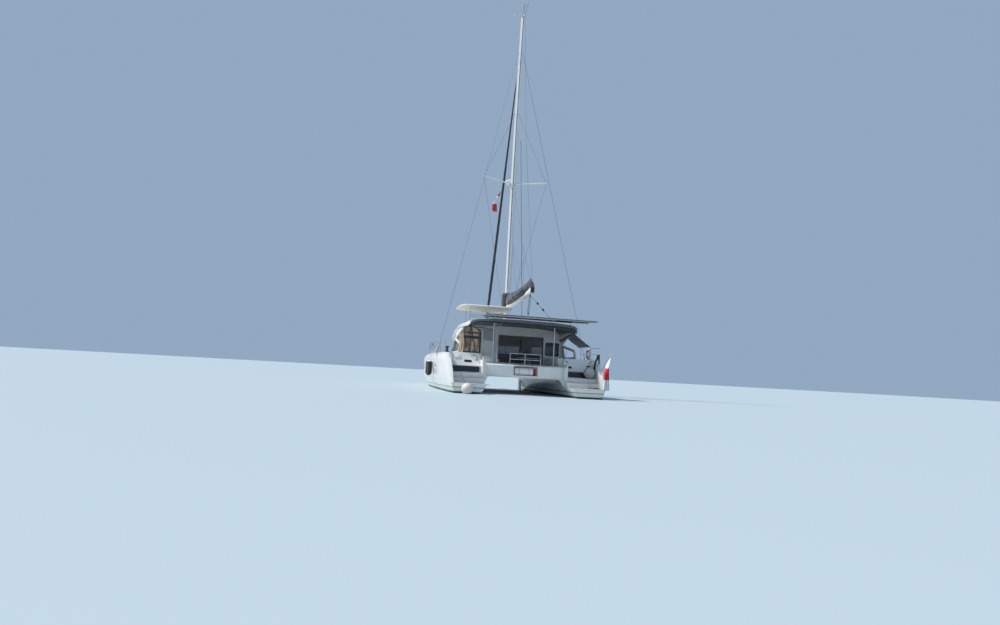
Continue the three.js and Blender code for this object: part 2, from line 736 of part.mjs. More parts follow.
function radarDome() {
  const profile = [[0, 0], [250, 0], [300, 60], [290, 140], [160, 210], [0, 230]];
  const shell = new THREE.LatheGeometry(profile.map(([r, h]) => new THREE.Vector2(r, h)), 16);
  const face = mastY(DOME_Z) + MAST_HALF.y;
  const bracket = block(-40, 40, face - 20, face + 300, DOME_Z - 40, DOME_Z + 10);
  return join(shell.rotateX(Math.PI / 2).translate(0, face + 320, DOME_Z), bracket);
}

const ANTENNA = { foot: [80, -120, -60], tip: [240, -1300, 21180] }; // the foot is from the masthead
const VANE = { y: -1300, z: 20820, nose: 160, tail: 200 };

// The whip antenna and the wind vane on the masthead crane
function mastheadGear(topY) {
  const [x, y, z] = ANTENNA.foot;
  const whip = rod([x, topY + y, MAST_TOP_Z + z], ANTENNA.tip, 10, 8, 5);
  const arm = block(-30, x + 12, topY + y - 20, topY + y + 20, MAST_TOP_Z - 90, MAST_TOP_Z - 50);
  const stalk = rod([0, VANE.y, MAST_TOP_Z - 60], [0, VANE.y, VANE.z], 10, 8);
  const arrow = rod([0, VANE.y + VANE.nose, VANE.z], [0, VANE.y - VANE.tail, VANE.z], 8, 6);
  const fin = block(-3, 3, VANE.y - VANE.tail, VANE.y - VANE.tail + 110, VANE.z - 45, VANE.z + 45);
  return join(whip, arm, stalk, arrow, fin);
}

function mast() {
  const heights = Array.from({ length: MAST_LENGTHS + 1 }, (_, k) =>
    ROOF_Z + ((MAST_TOP_Z - ROOF_Z) * k) / MAST_LENGTHS);
  heights[0] += GAP;
  const tube = loft(heights.map((z) =>
    arc(0, mastY(z), MAST_HALF.x, MAST_HALF.y, 0, 345, 23).map(([x, y]) => [x, y, z])));
  const topY = mastY(MAST_TOP_Z);
  const crane = block(-30, 30, topY - 330, topY + 230, MAST_TOP_Z - 120, MAST_TOP_Z - 40);
  const pinHole = rod([0, GOOSENECK_Y, BOOM_Z - 50], [0, GOOSENECK_Y, BOOM_Z + 50], PIN_R + 1, 16);
  const gooseneckLug = cut(block(-28, 28, GOOSENECK_Y - 28, MAST_Y, BOOM_Z - 30, BOOM_Z + 30), pinHole);
  const lamp = rod([0, topY, MAST_TOP_Z - 60], [0, topY, MAST_TOP_Z + 40], 30, 8);
  const sides = [spreader(), diamondStays()];
  const gear = mastheadGear(topY);
  return join(tube, crane, gooseneckLug, lamp, gear, ...sides, ...sides.map(mirrored), radarDome());
}

const STAY_R = 9;
const TACK = [0, CROSSBEAM_Y + 40, 1950];
const STAY_TOP = [0, mastY(HOUNDS_Z) + MAST_HALF.y + STAY_R + GAP, HOUNDS_Z];

// The point of the forestay at a height
function onForestay(z) {
  const t = (z - TACK[2]) / (STAY_TOP[2] - TACK[2]);
  return [0, TACK[1] + t * (STAY_TOP[1] - TACK[1]), z];
}

const ROLL_LEVELS = [
  // z, radius of the furled headsail
  [2330, 20],
  [2700, 72],
  [6000, 88],
  [12000, 68],
  [16500, 34],
  [16950, 14],
];

// A loft round the forestay through a table of heights and radii
function roundStay(levels, sides) {
  return loft(levels.map(([z, r]) => {
    const [x, y] = onForestay(z);
    return arc(x, y, r, r, 0, 360 - 360 / sides, sides - 1).map(([px, py]) => [px, py, z]);
  }));
}

function headsail() {
  const wire = roundStay([[TACK[2], STAY_R], [HOUNDS_Z, STAY_R]], 8);
  const drum = roundStay([[2060, 105], [2200, 105]], 12);
  return join(wire, drum, roundStay(ROLL_LEVELS, 10));
}

place("mast", mast(), alloy);
placePair("cap_shroud", capShroud(), steel);
place("furled_headsail", headsail(), canvas);

// Boom with the stowed mainsail in its bag

const BOOM_LENGTH = GOOSENECK_Y - BOOM_END_Y;

function boomHeight(y) {
  return BOOM_Z + (BOOM_RISE * (GOOSENECK_Y - y)) / BOOM_LENGTH;
}

function boomRing(y, half, tall) {
  const z = boomHeight(y);
  return roundedBox(-half, half, z - tall, z + tall, 40, 2).map(([x, h]) => [x, y, h]);
}

// The spar, with the fork and upright pin that hold it to the mast's lug
function boom() {
  const tube = loft([boomRing(GOOSENECK_Y - 62, 60, 90), boomRing(-1500, 95, 125), boomRing(BOOM_END_Y, 95, 125)]);
  const ears = [[BOOM_Z + 31, BOOM_Z + 60], [BOOM_Z - 60, BOOM_Z - 31]].map(([low, high]) =>
    block(-28, 28, GOOSENECK_Y - 100, GOOSENECK_Y + 24, low, high));
  const pin = rod([0, GOOSENECK_Y, BOOM_Z - 55], [0, GOOSENECK_Y, BOOM_Z + 55], PIN_R, 16);
  return join(tube, ...ears, pin);
}

const BAG_STATIONS = [
  // y, half width, how far its foot hangs below the boom's middle, height of its ridge over the boom's middle
  [-1230, 150, 60, 690],
  [-1900, 240, 100, 600],
  [-3200, 310, 110, 490],
  [-4500, 290, 80, 520],
  [-5350, 200, 40, 580],
  [-5800, 130, 0, 250],
];

function bagRing([y, half, below, above]) {
  const z = boomHeight(y);
  const outline = [
    [half * 0.7, z - below],
    [half, z + above * 0.3],
    [half * 0.8, z + above * 0.7],
    [half * 0.25, z + above],
  ];
  const other = outline.map(([x, h]) => [-x, h]).reverse();
  return [...outline, ...other].map(([x, h]) => [x, y, h]);
}

function sailBag(spar) {
  const wider = spar.clone().translate(0, 0, -BOOM_Z).scale(1.003, 1, 1.003).translate(0, 0, BOOM_Z);
  return cut(loft(BAG_STATIONS.map(bagRing)), wider, spar);
}

const spar = boom();
place("boom", spar, gelcoat);
place("sail_bag", sailBag(spar), canvas);

// Foredeck: crossbeam with the sprit, longeron, anchor, and the nets between the bows

function crossbeam(hullBody) {
  const tube = rod([-2700, CROSSBEAM_Y, CROSSBEAM_Z], [2700, CROSSBEAM_Y, CROSSBEAM_Z], 95, 12);
  const sprit = rod([0, CROSSBEAM_Y, CROSSBEAM_Z], [0, CROSSBEAM_Y + 480, CROSSBEAM_Z + 30], 70, 10);
  const tackPlate = block(-60, 60, CROSSBEAM_Y - 20, CROSSBEAM_Y + 90, CROSSBEAM_Z, TACK[2] - 14);
  const beam = cut(tube, moved(hullBody, -GAP, 0, 0), moved(mirrored(hullBody), GAP, 0, 0));
  const spine = rod([0, BRIDGE_FRONT_Y + GAP, CROSSBEAM_Z], [0, CROSSBEAM_Y, CROSSBEAM_Z], 80, 10);
  return join(beam, spine, sprit, tackPlate);
}

// The anchor hangs under the sprit, and its places are counted from the crossbeam
function anchor() {
  const ahead = (y) => CROSSBEAM_Y + y;
  const crown = [0, ahead(640), 1711.7];
  const shank = rod([0, ahead(200), 1683.7], crown, 18, 8);
  const arm = rod(crown, [0, ahead(530), 1480], 20, 8);
  const fluke = loft([[410, 20, 1440], [530, 150, 1470], [660, 30, 1550]].map(([y, half, z]) => [
    [half, ahead(y), z + 30], [0, ahead(y), z - 25], [-half, ahead(y), z + 30], [0, ahead(y), z + 12]]));
  return join(shank, arm, ball(crown, 24), fluke);
}

function net(hullBody) {
  const aft = BRIDGE_FRONT_Y + 20;
  const front = CROSSBEAM_Y - 110;
  const outline = [[90, aft], [2000, aft], [2600, front], [90, front]];
  return cut(raised(outline, CROSSBEAM_Z - 6, CROSSBEAM_Z + 6), moved(hullBody, -GAP, 0, 0));
}

place("crossbeam", crossbeam(starboardHull), alloy);
place("anchor", anchor(), steel);
placePair("trampoline", net(starboardHull), netting);

// Lids on the foredeck lockers

const LID = { x0: 420, x1: 1500, y0: 2560, y1: 2980, thick: 28 };

function lockerLid() {
  return raised(roundedBox(LID.x0, LID.x1, LID.y0, LID.y1, 60), DECK_Z + GAP, DECK_Z + LID.thick);
}

placePair("locker_lid", lockerLid(), gelcoat);

// Guard rails along the decks and round the bows

const STANCHIONS = [
  // x, y, height of the deck there
  [3540, -4100, DECK_Z],
  [3570, -2700, DECK_Z],
  [3580, -400, DECK_Z],
  [3560, 1000, DECK_Z],
  [3500, 2400, DECK_Z],
  [3330, 3700, 1821],
  [3060, 5100, 1921],
];
const RAIL_TALL = 620;
const WIRE_HEIGHTS = [0.5, 1].map((share) => RAIL_TALL * share - 8); // over the deck

const HOOP = { front: [3480, -4250], aft: [3560, -5350], footZ: 1260, r: 14 };

// The hoop by the stern steps, joined to the last stanchion; only the starboard side has it
function sternHoop() {
  const { front, aft, footZ, r } = HOOP;
  const bar = pipe([[...aft, footZ], [...aft, 2330], [...front, 2350], [...front, 1700]], r);
  const middle = rod([...aft, 2040], [...front, 2060], 10, 6);
  const links = WIRE_HEIGHTS.map((up) =>
    rod([...front, DECK_Z + up], [STANCHIONS[0][0], STANCHIONS[0][1], DECK_Z + up], 6, 4));
  return join(bar, middle, ...links);
}

function guardRail(hullBody, ...more) {
  const posts = STANCHIONS.map(([x, y, z]) => rod([x, y, z - 60], [x, y, z + RAIL_TALL], 14, 6));
  const bow = [[2890, 6150, 1950], [2890, 6150, 2600], [2700, 6150, 2600], [2560, 5500, 2560], [2560, 5500, 1900]];
  const wires = WIRE_HEIGHTS.map((up) => {
    const line = STANCHIONS.map(([x, y, z]) => [x, y, z + up]);
    return pipe([...line, [2890, 6150, 1985 + up]], 6, 4);
  });
  return cut(join(...posts, pipe(bow, 14), ...wires, ...more), moved(hullBody, 0, 0, GAP));
}

place("guard_rail_starboard", guardRail(starboardHull, sternHoop()), steel);
place("guard_rail_port", mirrored(guardRail(starboardHull)), steel);

// Boarding ladder folded on the starboard platform, with two upright handles

const PLATFORM_Z = STERN_STEPS[0][3];
const LADDER_SIDES = [2860, 3200];

function ladder() {
  const z = PLATFORM_Z + 22 + GAP;
  const rails = LADDER_SIDES.map((x) => rod([x, -6380, z], [x, -5800, z], 16, 8));
  const rungs = [-6300, -6120, -5940].map((y) => rod([LADDER_SIDES[0], y, z], [LADDER_SIDES[1], y, z], 16, 8));
  const feet = LADDER_SIDES.map((x) => block(x - 18, x + 18, -5990, -5800, PLATFORM_Z + GAP, z));
  const handles = LADDER_SIDES.map((x) => pipe([[x, -5840, z], [x, -5840, 760], [x, -5980, 700], [x, -5980, z]], 12));
  return join(...rails, ...rungs, ...feet, ...handles);
}

place("swim_ladder", ladder(), steel);

// Cockpit: rail over the aft bench, benches, table and cushions

function benchRail() {
  const top = BEAM_TOP_Z + GAP;
  const posts = [-700, 0, 750].map((x) => rod([x, -5170, top], [x, -5170, 1870], 16, 8));
  const bars = [1600, 1860].map((z) => rod([-700, -5170, z], [750, -5170, z], 14, 8));
  return join(...posts, ...bars);
}

function cockpitTable() {
  const leg = block(560, 700, -3700, -3560, SOLE_Z + GAP, 1690);
  const foot = block(430, 830, -3830, -3430, SOLE_Z + GAP, 1030);
  const top = raised(roundedBox(60, 1200, -4150, -3100, 90), 1680, 1725);
  return join(leg, foot, top);
}

function cushion(x0, x1, y0, y1, z, thick) {
  return raised(roundedBox(x0, x1, y0, y1, 60, 3), z + GAP, z + thick);
}

place("bench_rail", benchRail(), steel);
place("cockpit_table", cockpitTable(), teak);
place("aft_cushion", cushion(-1200, 1200, -5080, -4660, BEAM_TOP_Z, 90), cushionCloth);
place("starboard_cushion", cushion(1360, 1840, -4590, -2510, BENCH_Z, 90), cushionCloth);

// Saloon: an L-shaped settee, a table and the galley

function settee() {
  const outline = [
    [-1840, -500], [-1240, -500], [-1240, 1500], [300, 1500], [300, 2100], [-1840, 2100]];
  return raised(outline, SOLE_Z + GAP, 1440);
}

function saloonTable() {
  const leg = block(-620, -500, 200, 320, SOLE_Z + GAP, 1700);
  const top = raised(roundedBox(-1100, -20, -320, 920, 80), 1690, 1730);
  return join(leg, top);
}

function galley() {
  const outline = [[1840, -1900], [1240, -1900], [1240, 1200], [700, 1200], [700, 1800], [1840, 1800]].reverse();
  return raised(outline, SOLE_Z + GAP, 1930);
}

place("saloon_settee", settee(), cushionCloth);
place("saloon_table", saloonTable(), joinery);
place("galley", galley(), joinery);

// Liferaft in its bay, and the soft things hung about the stern

function liferaft() {
  const middleZ = RAFT_BAY.z0 + 180 + GAP;
  const y = BEAM_AFT_Y + 230;
  return rod([-440, y, middleZ], [420, y, middleZ], 180, 16);
}

// The outer edge of the hull at a place along it
function hullSide(y) {
  const k = HULL_STATIONS.findIndex(([station]) => station > y);
  const [y0, x0] = HULL_STATIONS[k - 1];
  const [y1, x1] = HULL_STATIONS[k];
  return x0 + ((x1 - x0) * (y - y0)) / (y1 - y0);
}

const SIDE_FENDER = { r: 125, z0: 640, z1: 1400 };

function sideFender(y) {
  const x = -hullSide(y) - SIDE_FENDER.r - GAP;
  return rod([x, y, SIDE_FENDER.z0], [x, y, SIDE_FENDER.z1], SIDE_FENDER.r, 16);
}

place("liferaft", liferaft(), vinyl);
place("ball_fender_port", ball([-2840, STERN_Y - 255 - GAP, 215], 255, 16), vinyl);
place("ball_fender_starboard", ball([3030, -5410 - GAP, 1170 + GAP], 270, 16), vinyl);
place("side_fender_forward", sideFender(-1500), darkPlastic);
place("side_fender_aft", sideFender(-2140), darkPlastic);

const AWNING = { y0: -4150, y1: -2450, top: [HARDTOP_X + GAP, 3010], foot: [3558, 2425], thick: 12 };

// A canvas sloping from the hardtop's edge out to the guard rail
function sideAwning() {
  const { y0, y1, top, foot, thick } = AWNING;
  const outline = [top, foot, [foot[0] + thick, foot[1] + thick * 0.5], [top[0] + thick, top[1] + thick * 0.5]];
  return along(outline, y0, y1);
}

const CURTAIN = { inner: 1960, outer: 2780, wing: 2890, wingY: -3970, y: -4594, thick: 12, shoulder: 2720 };

// The corner enclosure to port: a short side, and an aft face with a strap up to the hardtop
function portCurtain(roof) {
  const { inner, outer, wing, wingY, y, thick, shoulder } = CURTAIN;
  const foot = DECK_Z + GAP;
  const side = [[outer, y], [outer, y + thick], [wing - thick, wingY], [wing, wingY], [outer + thick, y]];
  const face = raised([[inner, y], [outer + thick, y], [outer, y + thick], [inner, y + thick]], foot, 3240);
  const corner = join(raised([...side].reverse(), foot, shoulder), face);
  const outline = along([
    [-3100, foot], [-inner, foot], ...arc(-inner - 300, shoulder + 40, 300, 240, 0, 90, 4), [-2380, 3060],
    [-2380, 3240], [-2500, 3240], [-2500, 3060], [-outer - thick, shoulder + 60], [-3100, shoulder + 60]], y - 20, 0);
  return cut(common(mirrored(corner), outline), moved(roof, 0, 0, -GAP));
}

const STAFF = { foot: [3428, -5633, 1083], top: [3625, -6440, 1975], r: 16 };

function ensignStaff(hullBody) {
  const staff = rod(STAFF.foot, STAFF.top, STAFF.r, 8);
  return cut(join(staff, ball(STAFF.top, 26)), moved(hullBody, 0, 0, GAP));
}

// The ensign hanging in folds from the upper part of the staff
function ensign() {
  const outline = [
    [-6235, 1700], [-6215, 1765], [-6375, 1950], [-6440, 1925], [-6500, 1700], [-6490, 390], [-6380, 390]];
  const folds = across(outline, 3330, 3660);
  const pocket = rod(STAFF.foot, STAFF.top, STAFF.r + GAP, 8);
  return cut(folds, pocket);
}

const BUOY = { z: 2075, r: 215, tube: 62 };

// The ring hangs against a flat of the hoop's six-sided front post, on its inner side
function lifebuoy() {
  const [postX, postY] = HOOP.front;
  const x = postX - HOOP.r * Math.cos(Math.PI / 6) - BUOY.tube - GAP;
  const ring = new THREE.TorusGeometry(BUOY.r, BUOY.tube, 8, 20);
  return ring.rotateY(Math.PI / 2).translate(x, postY, BUOY.z);
}

place("port_curtain", portCurtain(roofOverCockpit), tinted);
place("side_awning", sideAwning(), slateCanvas);
place("ensign_staff", ensignStaff(starboardHull), steel);
place("ensign", ensign(), redCloth);
place("lifebuoy", lifebuoy(), vinyl);

export default catamaran;
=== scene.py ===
# A cruising catamaran afloat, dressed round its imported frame. Metres, +X starboard, +Y bow, +Z up.
import bmesh
import bpy
import json
import math
from mathutils import Matrix, Vector
from mathutils.bvhtree import BVHTree


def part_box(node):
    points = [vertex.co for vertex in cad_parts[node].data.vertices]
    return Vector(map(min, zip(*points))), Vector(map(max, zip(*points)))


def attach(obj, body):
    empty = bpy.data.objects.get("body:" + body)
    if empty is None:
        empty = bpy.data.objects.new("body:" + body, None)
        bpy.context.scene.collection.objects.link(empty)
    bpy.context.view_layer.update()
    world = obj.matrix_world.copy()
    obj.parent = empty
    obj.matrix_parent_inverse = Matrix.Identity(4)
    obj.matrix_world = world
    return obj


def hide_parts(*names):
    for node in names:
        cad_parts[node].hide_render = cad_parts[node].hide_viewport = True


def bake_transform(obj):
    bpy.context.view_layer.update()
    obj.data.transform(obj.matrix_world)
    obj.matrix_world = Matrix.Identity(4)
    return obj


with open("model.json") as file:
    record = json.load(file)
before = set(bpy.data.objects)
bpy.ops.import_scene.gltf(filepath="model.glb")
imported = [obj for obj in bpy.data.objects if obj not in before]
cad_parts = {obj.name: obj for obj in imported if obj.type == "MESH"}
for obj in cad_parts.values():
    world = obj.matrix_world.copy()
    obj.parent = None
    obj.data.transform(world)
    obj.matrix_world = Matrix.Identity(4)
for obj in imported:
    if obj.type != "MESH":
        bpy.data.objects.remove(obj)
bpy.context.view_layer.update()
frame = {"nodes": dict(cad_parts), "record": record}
scene = bpy.context.scene
print("frame loaded:", len(frame["nodes"]), "nodes")

# Camera and light

cameraSetup = {
    "place": (-7.45812824, -32.6575444, 0.991704),
    "heading": 0.22099977,  # radians to starboard of the bow
    "lift": 0.09484007,
    "lean": 0.05513233,
    "lens": 22.456,
    "sensor": 36,
}
lightSetup = {
    "sunWay": (0.72, -0.09, -1.0),  # the key light stands to port, high and a little ahead of the beam
    "sunPower": 3.7,
    "sunColour": (1.0, 0.97, 0.92),
    "sunWidth": 8.0,  # degrees
    "roomColour": (0.50, 0.68, 0.93),
    "roomPower": 0.58,
    "floorColour": (0.46, 0.54, 0.58),
    "floorSize": 600,
}


def startFresh():
    if bpy.context.mode != "OBJECT":
        bpy.ops.object.mode_set(mode="OBJECT")
    bpy.ops.object.select_all(action="DESELECT")


def choose(*pieces):
    startFresh()
    for piece in pieces:
        piece.select_set(True)
    bpy.context.view_layer.objects.active = pieces[0]


def setCamera(setup):
    startFresh()
    bpy.ops.object.camera_add(location=setup["place"])
    camera = bpy.context.object
    heading, lift, lean = setup["heading"], setup["lift"], setup["lean"]
    ahead = Vector((math.sin(heading) * math.cos(lift), math.cos(heading) * math.cos(lift), math.sin(lift)))
    right = Vector((math.cos(heading), -math.sin(heading), 0))
    up = right.cross(ahead)
    side = right * math.cos(lean) + up * math.sin(lean)
    top = up * math.cos(lean) - right * math.sin(lean)
    camera.rotation_euler = Matrix((side, top, -ahead)).transposed().to_euler()
    camera.data.lens = setup["lens"]
    camera.data.sensor_width = setup["sensor"]
    camera.data.clip_end = 2000
    scene.camera = camera


def setLight(setup):
    startFresh()
    bpy.ops.object.light_add(type="SUN", location=(-15, -15, 30))
    sun = bpy.context.object
    sun.rotation_euler = (-Vector(setup["sunWay"])).to_track_quat("Z", "Y").to_euler()
    sun.data.energy = setup["sunPower"]
    sun.data.color = setup["sunColour"]
    sun.data.angle = math.radians(setup["sunWidth"])
    room = bpy.data.worlds.new("plainRoom")
    scene.world = room
    room.use_nodes = True
    backdrop = room.node_tree.nodes["Background"]
    backdrop.inputs["Color"].default_value = (*setup["roomColour"], 1)
    backdrop.inputs["Strength"].default_value = setup["roomPower"]
    scene.view_settings.view_transform = "Standard"


setCamera(cameraSetup)
setLight(lightSetup)
print("camera and light set")

# Building finishes from nodes


def newFinish(name, colour, roughness, metallic=0.0, **sockets):
    finish = bpy.data.materials.new(name)
    finish.use_nodes = True
    shader = finish.node_tree.nodes["Principled BSDF"]
    shader.inputs["Base Color"].default_value = (*colour, 1)
    shader.inputs["Roughness"].default_value = roughness
    shader.inputs["Metallic"].default_value = metallic
    for socket, value in sockets.items():
        shader.inputs[socket.replace("_", " ")].default_value = value
    return finish


def shaderOf(finish):
    return finish.node_tree.nodes["Principled BSDF"]


def addNode(finish, kind, inputs=None, **settings):
    made = finish.node_tree.nodes.new("ShaderNode" + kind)
    for name, value in settings.items():
        setattr(made, name, value)
    for socket, value in (inputs or {}).items():
        if isinstance(value, bpy.types.NodeSocket):
            finish.node_tree.links.new(value, made.inputs[socket])
        else:
            made.inputs[socket].default_value = value
    return made


def link(finish, output, socket):
    finish.node_tree.links.new(output, shaderOf(finish).inputs[socket])


def place(finish, stretch=(1, 1, 1), turn=(0, 0, 0)):
    spot = addNode(finish, "TexCoord").outputs["Object"]
    return addNode(finish, "Mapping", {"Vector": spot, "Scale": stretch, "Rotation": turn}).outputs[0]


def cloud(finish, spot, scale, detail=4, roughness=0.55, distortion=0.0):
    return addNode(finish, "TexNoise", {"Vector": spot, "Scale": scale, "Detail": detail,
                                        "Roughness": roughness, "Distortion": distortion}).outputs[0]


def stripes(finish, spot, scale, direction="X", profile="SIN", distortion=0.0):
    return addNode(finish, "TexWave", {"Vector": spot, "Scale": scale, "Distortion": distortion},
                   bands_direction=direction, wave_profile=profile).outputs[1]


def ramp(finish, field, *stops):
    made = addNode(finish, "ValToRGB", {"Fac": field})
    points = made.color_ramp.elements
    while len(points) < len(stops):
        points.new(0.5)
    for point, (position, colour) in zip(points, stops):
        point.position = position
        point.color = (*colour, 1) if len(colour) == 3 else colour
    return made.outputs[0]


def grade(finish, field, low, high, newLow=0.0, newHigh=1.0):
    return addNode(finish, "MapRange", {"Value": field, "From Min": low, "From Max": high,
                                        "To Min": newLow, "To Max": newHigh}).outputs[0]


def blendColours(finish, factor, first, second):
    made = addNode(finish, "Mix", {0: factor}, data_type="RGBA")
    for socket, value in ((6, first), (7, second)):
        if isinstance(value, bpy.types.NodeSocket):
            finish.node_tree.links.new(value, made.inputs[socket])
        else:
            made.inputs[socket].default_value = (*value, 1)
    return made.outputs[2]


def calc(finish, operation, first, second=0.0):
    return addNode(finish, "Math", {0: first, 1: second}, operation=operation).outputs[0]


def axisOf(finish, spot, axis):
    return addNode(finish, "SeparateXYZ", {0: spot}).outputs[axis]


def relief(finish, field, strength, depth, over=None):
    inputs = {"Height": field, "Strength": strength, "Distance": depth}
    if over is not None:
        inputs["Normal"] = over
    return addNode(finish, "Bump", inputs).outputs[0]


def weave(finish, spot, pitch):
    # warp over weft, as a height field, with its threads a pitch apart
    warp = stripes(finish, spot, 0.5 / pitch, "X")
    weft = stripes(finish, spot, 0.5 / pitch, "Z")
    return calc(finish, "MULTIPLY", warp, weft)


# Hard finishes


def gelcoatFinish(name="gelcoat", colour=(0.86, 0.84, 0.79)):
    # gloss white moulding with a faint tide of dirt, long soft waves in the mould and fine polishing marks
    finish = newFinish(name, colour, 0.24, Coat_Weight=0.25, Coat_Roughness=0.08)
    spot = place(finish)
    streaky = cloud(finish, place(finish, (2.2, 2.2, 0.35)), 1.6, 6, 0.6)
    dirt = ramp(finish, streaky, (0.35, colour), (0.75, tuple(c * 0.93 for c in colour)))
    fine = cloud(finish, spot, 30, 3)
    marks = ramp(finish, fine, (0.3, (0.5, 0.5, 0.48)), (0.7, (0.9, 0.9, 0.9)))
    link(finish, blendColours(finish, 0.05, dirt, marks), "Base Color")
    link(finish, grade(finish, cloud(finish, spot, 7, 5), 0.3, 0.75, 0.17, 0.34), "Roughness")
    wavy = relief(finish, cloud(finish, spot, 1.1, 2), 0.25, 0.006)
    link(finish, relief(finish, cloud(finish, spot, 260, 2), 0.03, 0.0006, wavy), "Normal")
    return finish


hullPaint = {
    "antifouling": 0.085,  # its top over the water
    "stripeLow": 0.235,
    "stripeHigh": 0.275,
    "deckGrip": 1.72,  # above this, faces that look up are non-slip
}


def topsideFinish(paint):
    # hull colours by height: black antifouling, a white band, a thin dark sea-green band, then white topsides
    finish = gelcoatFinish("topsides", (0.86, 0.845, 0.80))
    white = shaderOf(finish).inputs["Base Color"].links[0].from_socket
    spot = place(finish)
    height = axisOf(finish, spot, "Z")
    wobble = calc(finish, "MULTIPLY", cloud(finish, place(finish, (1, 1, 3)), 2.5, 6), 0.05)
    stained = grade(finish, calc(finish, "SUBTRACT", height, wobble), 0.06, 0.30)
    tide = blendColours(finish, stained, (0.60, 0.64, 0.56), white)
    low = calc(finish, "GREATER_THAN", height, paint["stripeLow"])
    high = calc(finish, "LESS_THAN", height, paint["stripeHigh"])
    striped = blendColours(finish, calc(finish, "MULTIPLY", low, high), tide, (0.16, 0.25, 0.24))
    growth = ramp(finish, cloud(finish, spot, 9, 7, 0.65),
                  (0.3, (0.010, 0.014, 0.016)), (0.62, (0.022, 0.030, 0.030)), (0.85, (0.05, 0.075, 0.045)))
    under = calc(finish, "LESS_THAN", height, paint["antifouling"])
    link(finish, blendColours(finish, under, striped, growth), "Base Color")
    facing = axisOf(finish, addNode(finish, "NewGeometry").outputs["Normal"], "Z")
    deck = calc(finish, "MULTIPLY", calc(finish, "GREATER_THAN", facing, 0.93),
                calc(finish, "GREATER_THAN", height, paint["deckGrip"]))
    rough = calc(finish, "MAXIMUM", calc(finish, "MULTIPLY", deck, 0.55),
                 calc(finish, "MULTIPLY", under, 0.75))
    gloss = shaderOf(finish).inputs["Roughness"].links[0].from_socket
    link(finish, calc(finish, "MAXIMUM", gloss, rough), "Roughness")
    pips = addNode(finish, "TexVoronoi", {"Vector": spot, "Scale": 140}).outputs[0]
    grip = calc(finish, "MULTIPLY", pips, deck)
    smooth = shaderOf(finish).inputs["Normal"].links[0].from_socket
    link(finish, relief(finish, grip, 0.5, 0.002, smooth), "Normal")
    return finish


def gripFinish(name="nonSlip", colour=(0.17, 0.155, 0.145)):
    # grey non-slip with a diamond grain, scuffed along the walkways
    finish = newFinish(name, colour, 0.75)
    spot = place(finish)
    worn = ramp(finish, cloud(finish, spot, 3.5, 6), (0.3, tuple(c * 0.9 for c in colour)),
                (0.7, tuple(c * 1.15 for c in colour)))
    link(finish, worn, "Base Color")
    slant = place(finish, turn=(0, 0, math.radians(45)))
    grain = calc(finish, "MULTIPLY", stripes(finish, slant, 45, "X"), stripes(finish, slant, 45, "Y"))
    link(finish, relief(finish, grain, 0.6, 0.0015), "Normal")
    return finish


def liningFinish(name, colour):
    # a roof's underside: matt panels with faint joints and damp marks
    finish = newFinish(name, colour, 0.6)
    spot = place(finish)
    mottled = ramp(finish, cloud(finish, spot, 2.4, 6), (0.3, tuple(c * 0.88 for c in colour)),
                   (0.72, tuple(c * 1.12 for c in colour)))
    link(finish, mottled, "Base Color")
    link(finish, relief(finish, cloud(finish, spot, 180, 3), 0.18, 0.001), "Normal")
    return finish


def smokedFinish(name="smokedGlass", colour=(0.018, 0.022, 0.026), clear=0.30):
    # tinted acrylic, lightly crazed, with salt dried on it
    finish = newFinish(name, colour, 0.07, Alpha=1 - clear, Specular_IOR_Level=0.6)
    spot = place(finish)
    salt = cloud(finish, spot, 22, 8, 0.7)
    link(finish, ramp(finish, salt, (0.45, colour), (0.85, tuple(c + 0.035 for c in colour))), "Base Color")
    link(finish, grade(finish, salt, 0.4, 0.8, 0.04, 0.22), "Roughness")
    link(finish, relief(finish, cloud(finish, spot, 0.9, 2), 0.2, 0.004), "Normal")
    return finish


def steelFinish():
    # polished tube with drawn scratches and tea stains
    finish = newFinish("polishedSteel", (0.62, 0.64, 0.66), 0.14, 1.0)
    spot = place(finish)
    stain = ramp(finish, cloud(finish, spot, 8, 7, 0.65),
                 (0.3, (0.66, 0.68, 0.70)), (0.68, (0.58, 0.60, 0.61)), (0.9, (0.42, 0.34, 0.25)))
    link(finish, stain, "Base Color")
    drawn = cloud(finish, place(finish, (60, 60, 4)), 6, 4)
    link(finish, grade(finish, drawn, 0.3, 0.7, 0.08, 0.24), "Roughness")
    link(finish, relief(finish, cloud(finish, place(finish, (150, 150, 8)), 4, 2), 0.05, 0.0003), "Normal")
    return finish


def wireFinish():
    # stainless strand gone grey, with the lay of its wires round it
    finish = newFinish("rigWire", (0.13, 0.15, 0.17), 0.45, 0.7)
    spot = place(finish)
    greys = ramp(finish, cloud(finish, spot, 3, 6), (0.3, (0.10, 0.12, 0.14)), (0.75, (0.19, 0.21, 0.23)))
    link(finish, greys, "Base Color")
    lay = stripes(finish, place(finish, turn=(0.5, 0.5, 0)), 60, "Z", distortion=0.4)
    link(finish, relief(finish, lay, 0.5, 0.001), "Normal")
    return finish


def sparFinish():
    # off-white painted alloy, run with faint grey streaks down its length
    finish = newFinish("paintedSpar", (0.80, 0.80, 0.78), 0.38)
    runs = cloud(finish, place(finish, (14, 14, 0.25)), 1.5, 6, 0.6)
    link(finish, ramp(finish, runs, (0.35, (0.86, 0.86, 0.83)), (0.75, (0.66, 0.66, 0.65))), "Base Color")
    link(finish, grade(finish, runs, 0.3, 0.8, 0.28, 0.5), "Roughness")
    link(finish, relief(finish, cloud(finish, place(finish), 120, 3), 0.08, 0.0005), "Normal")
    return finish


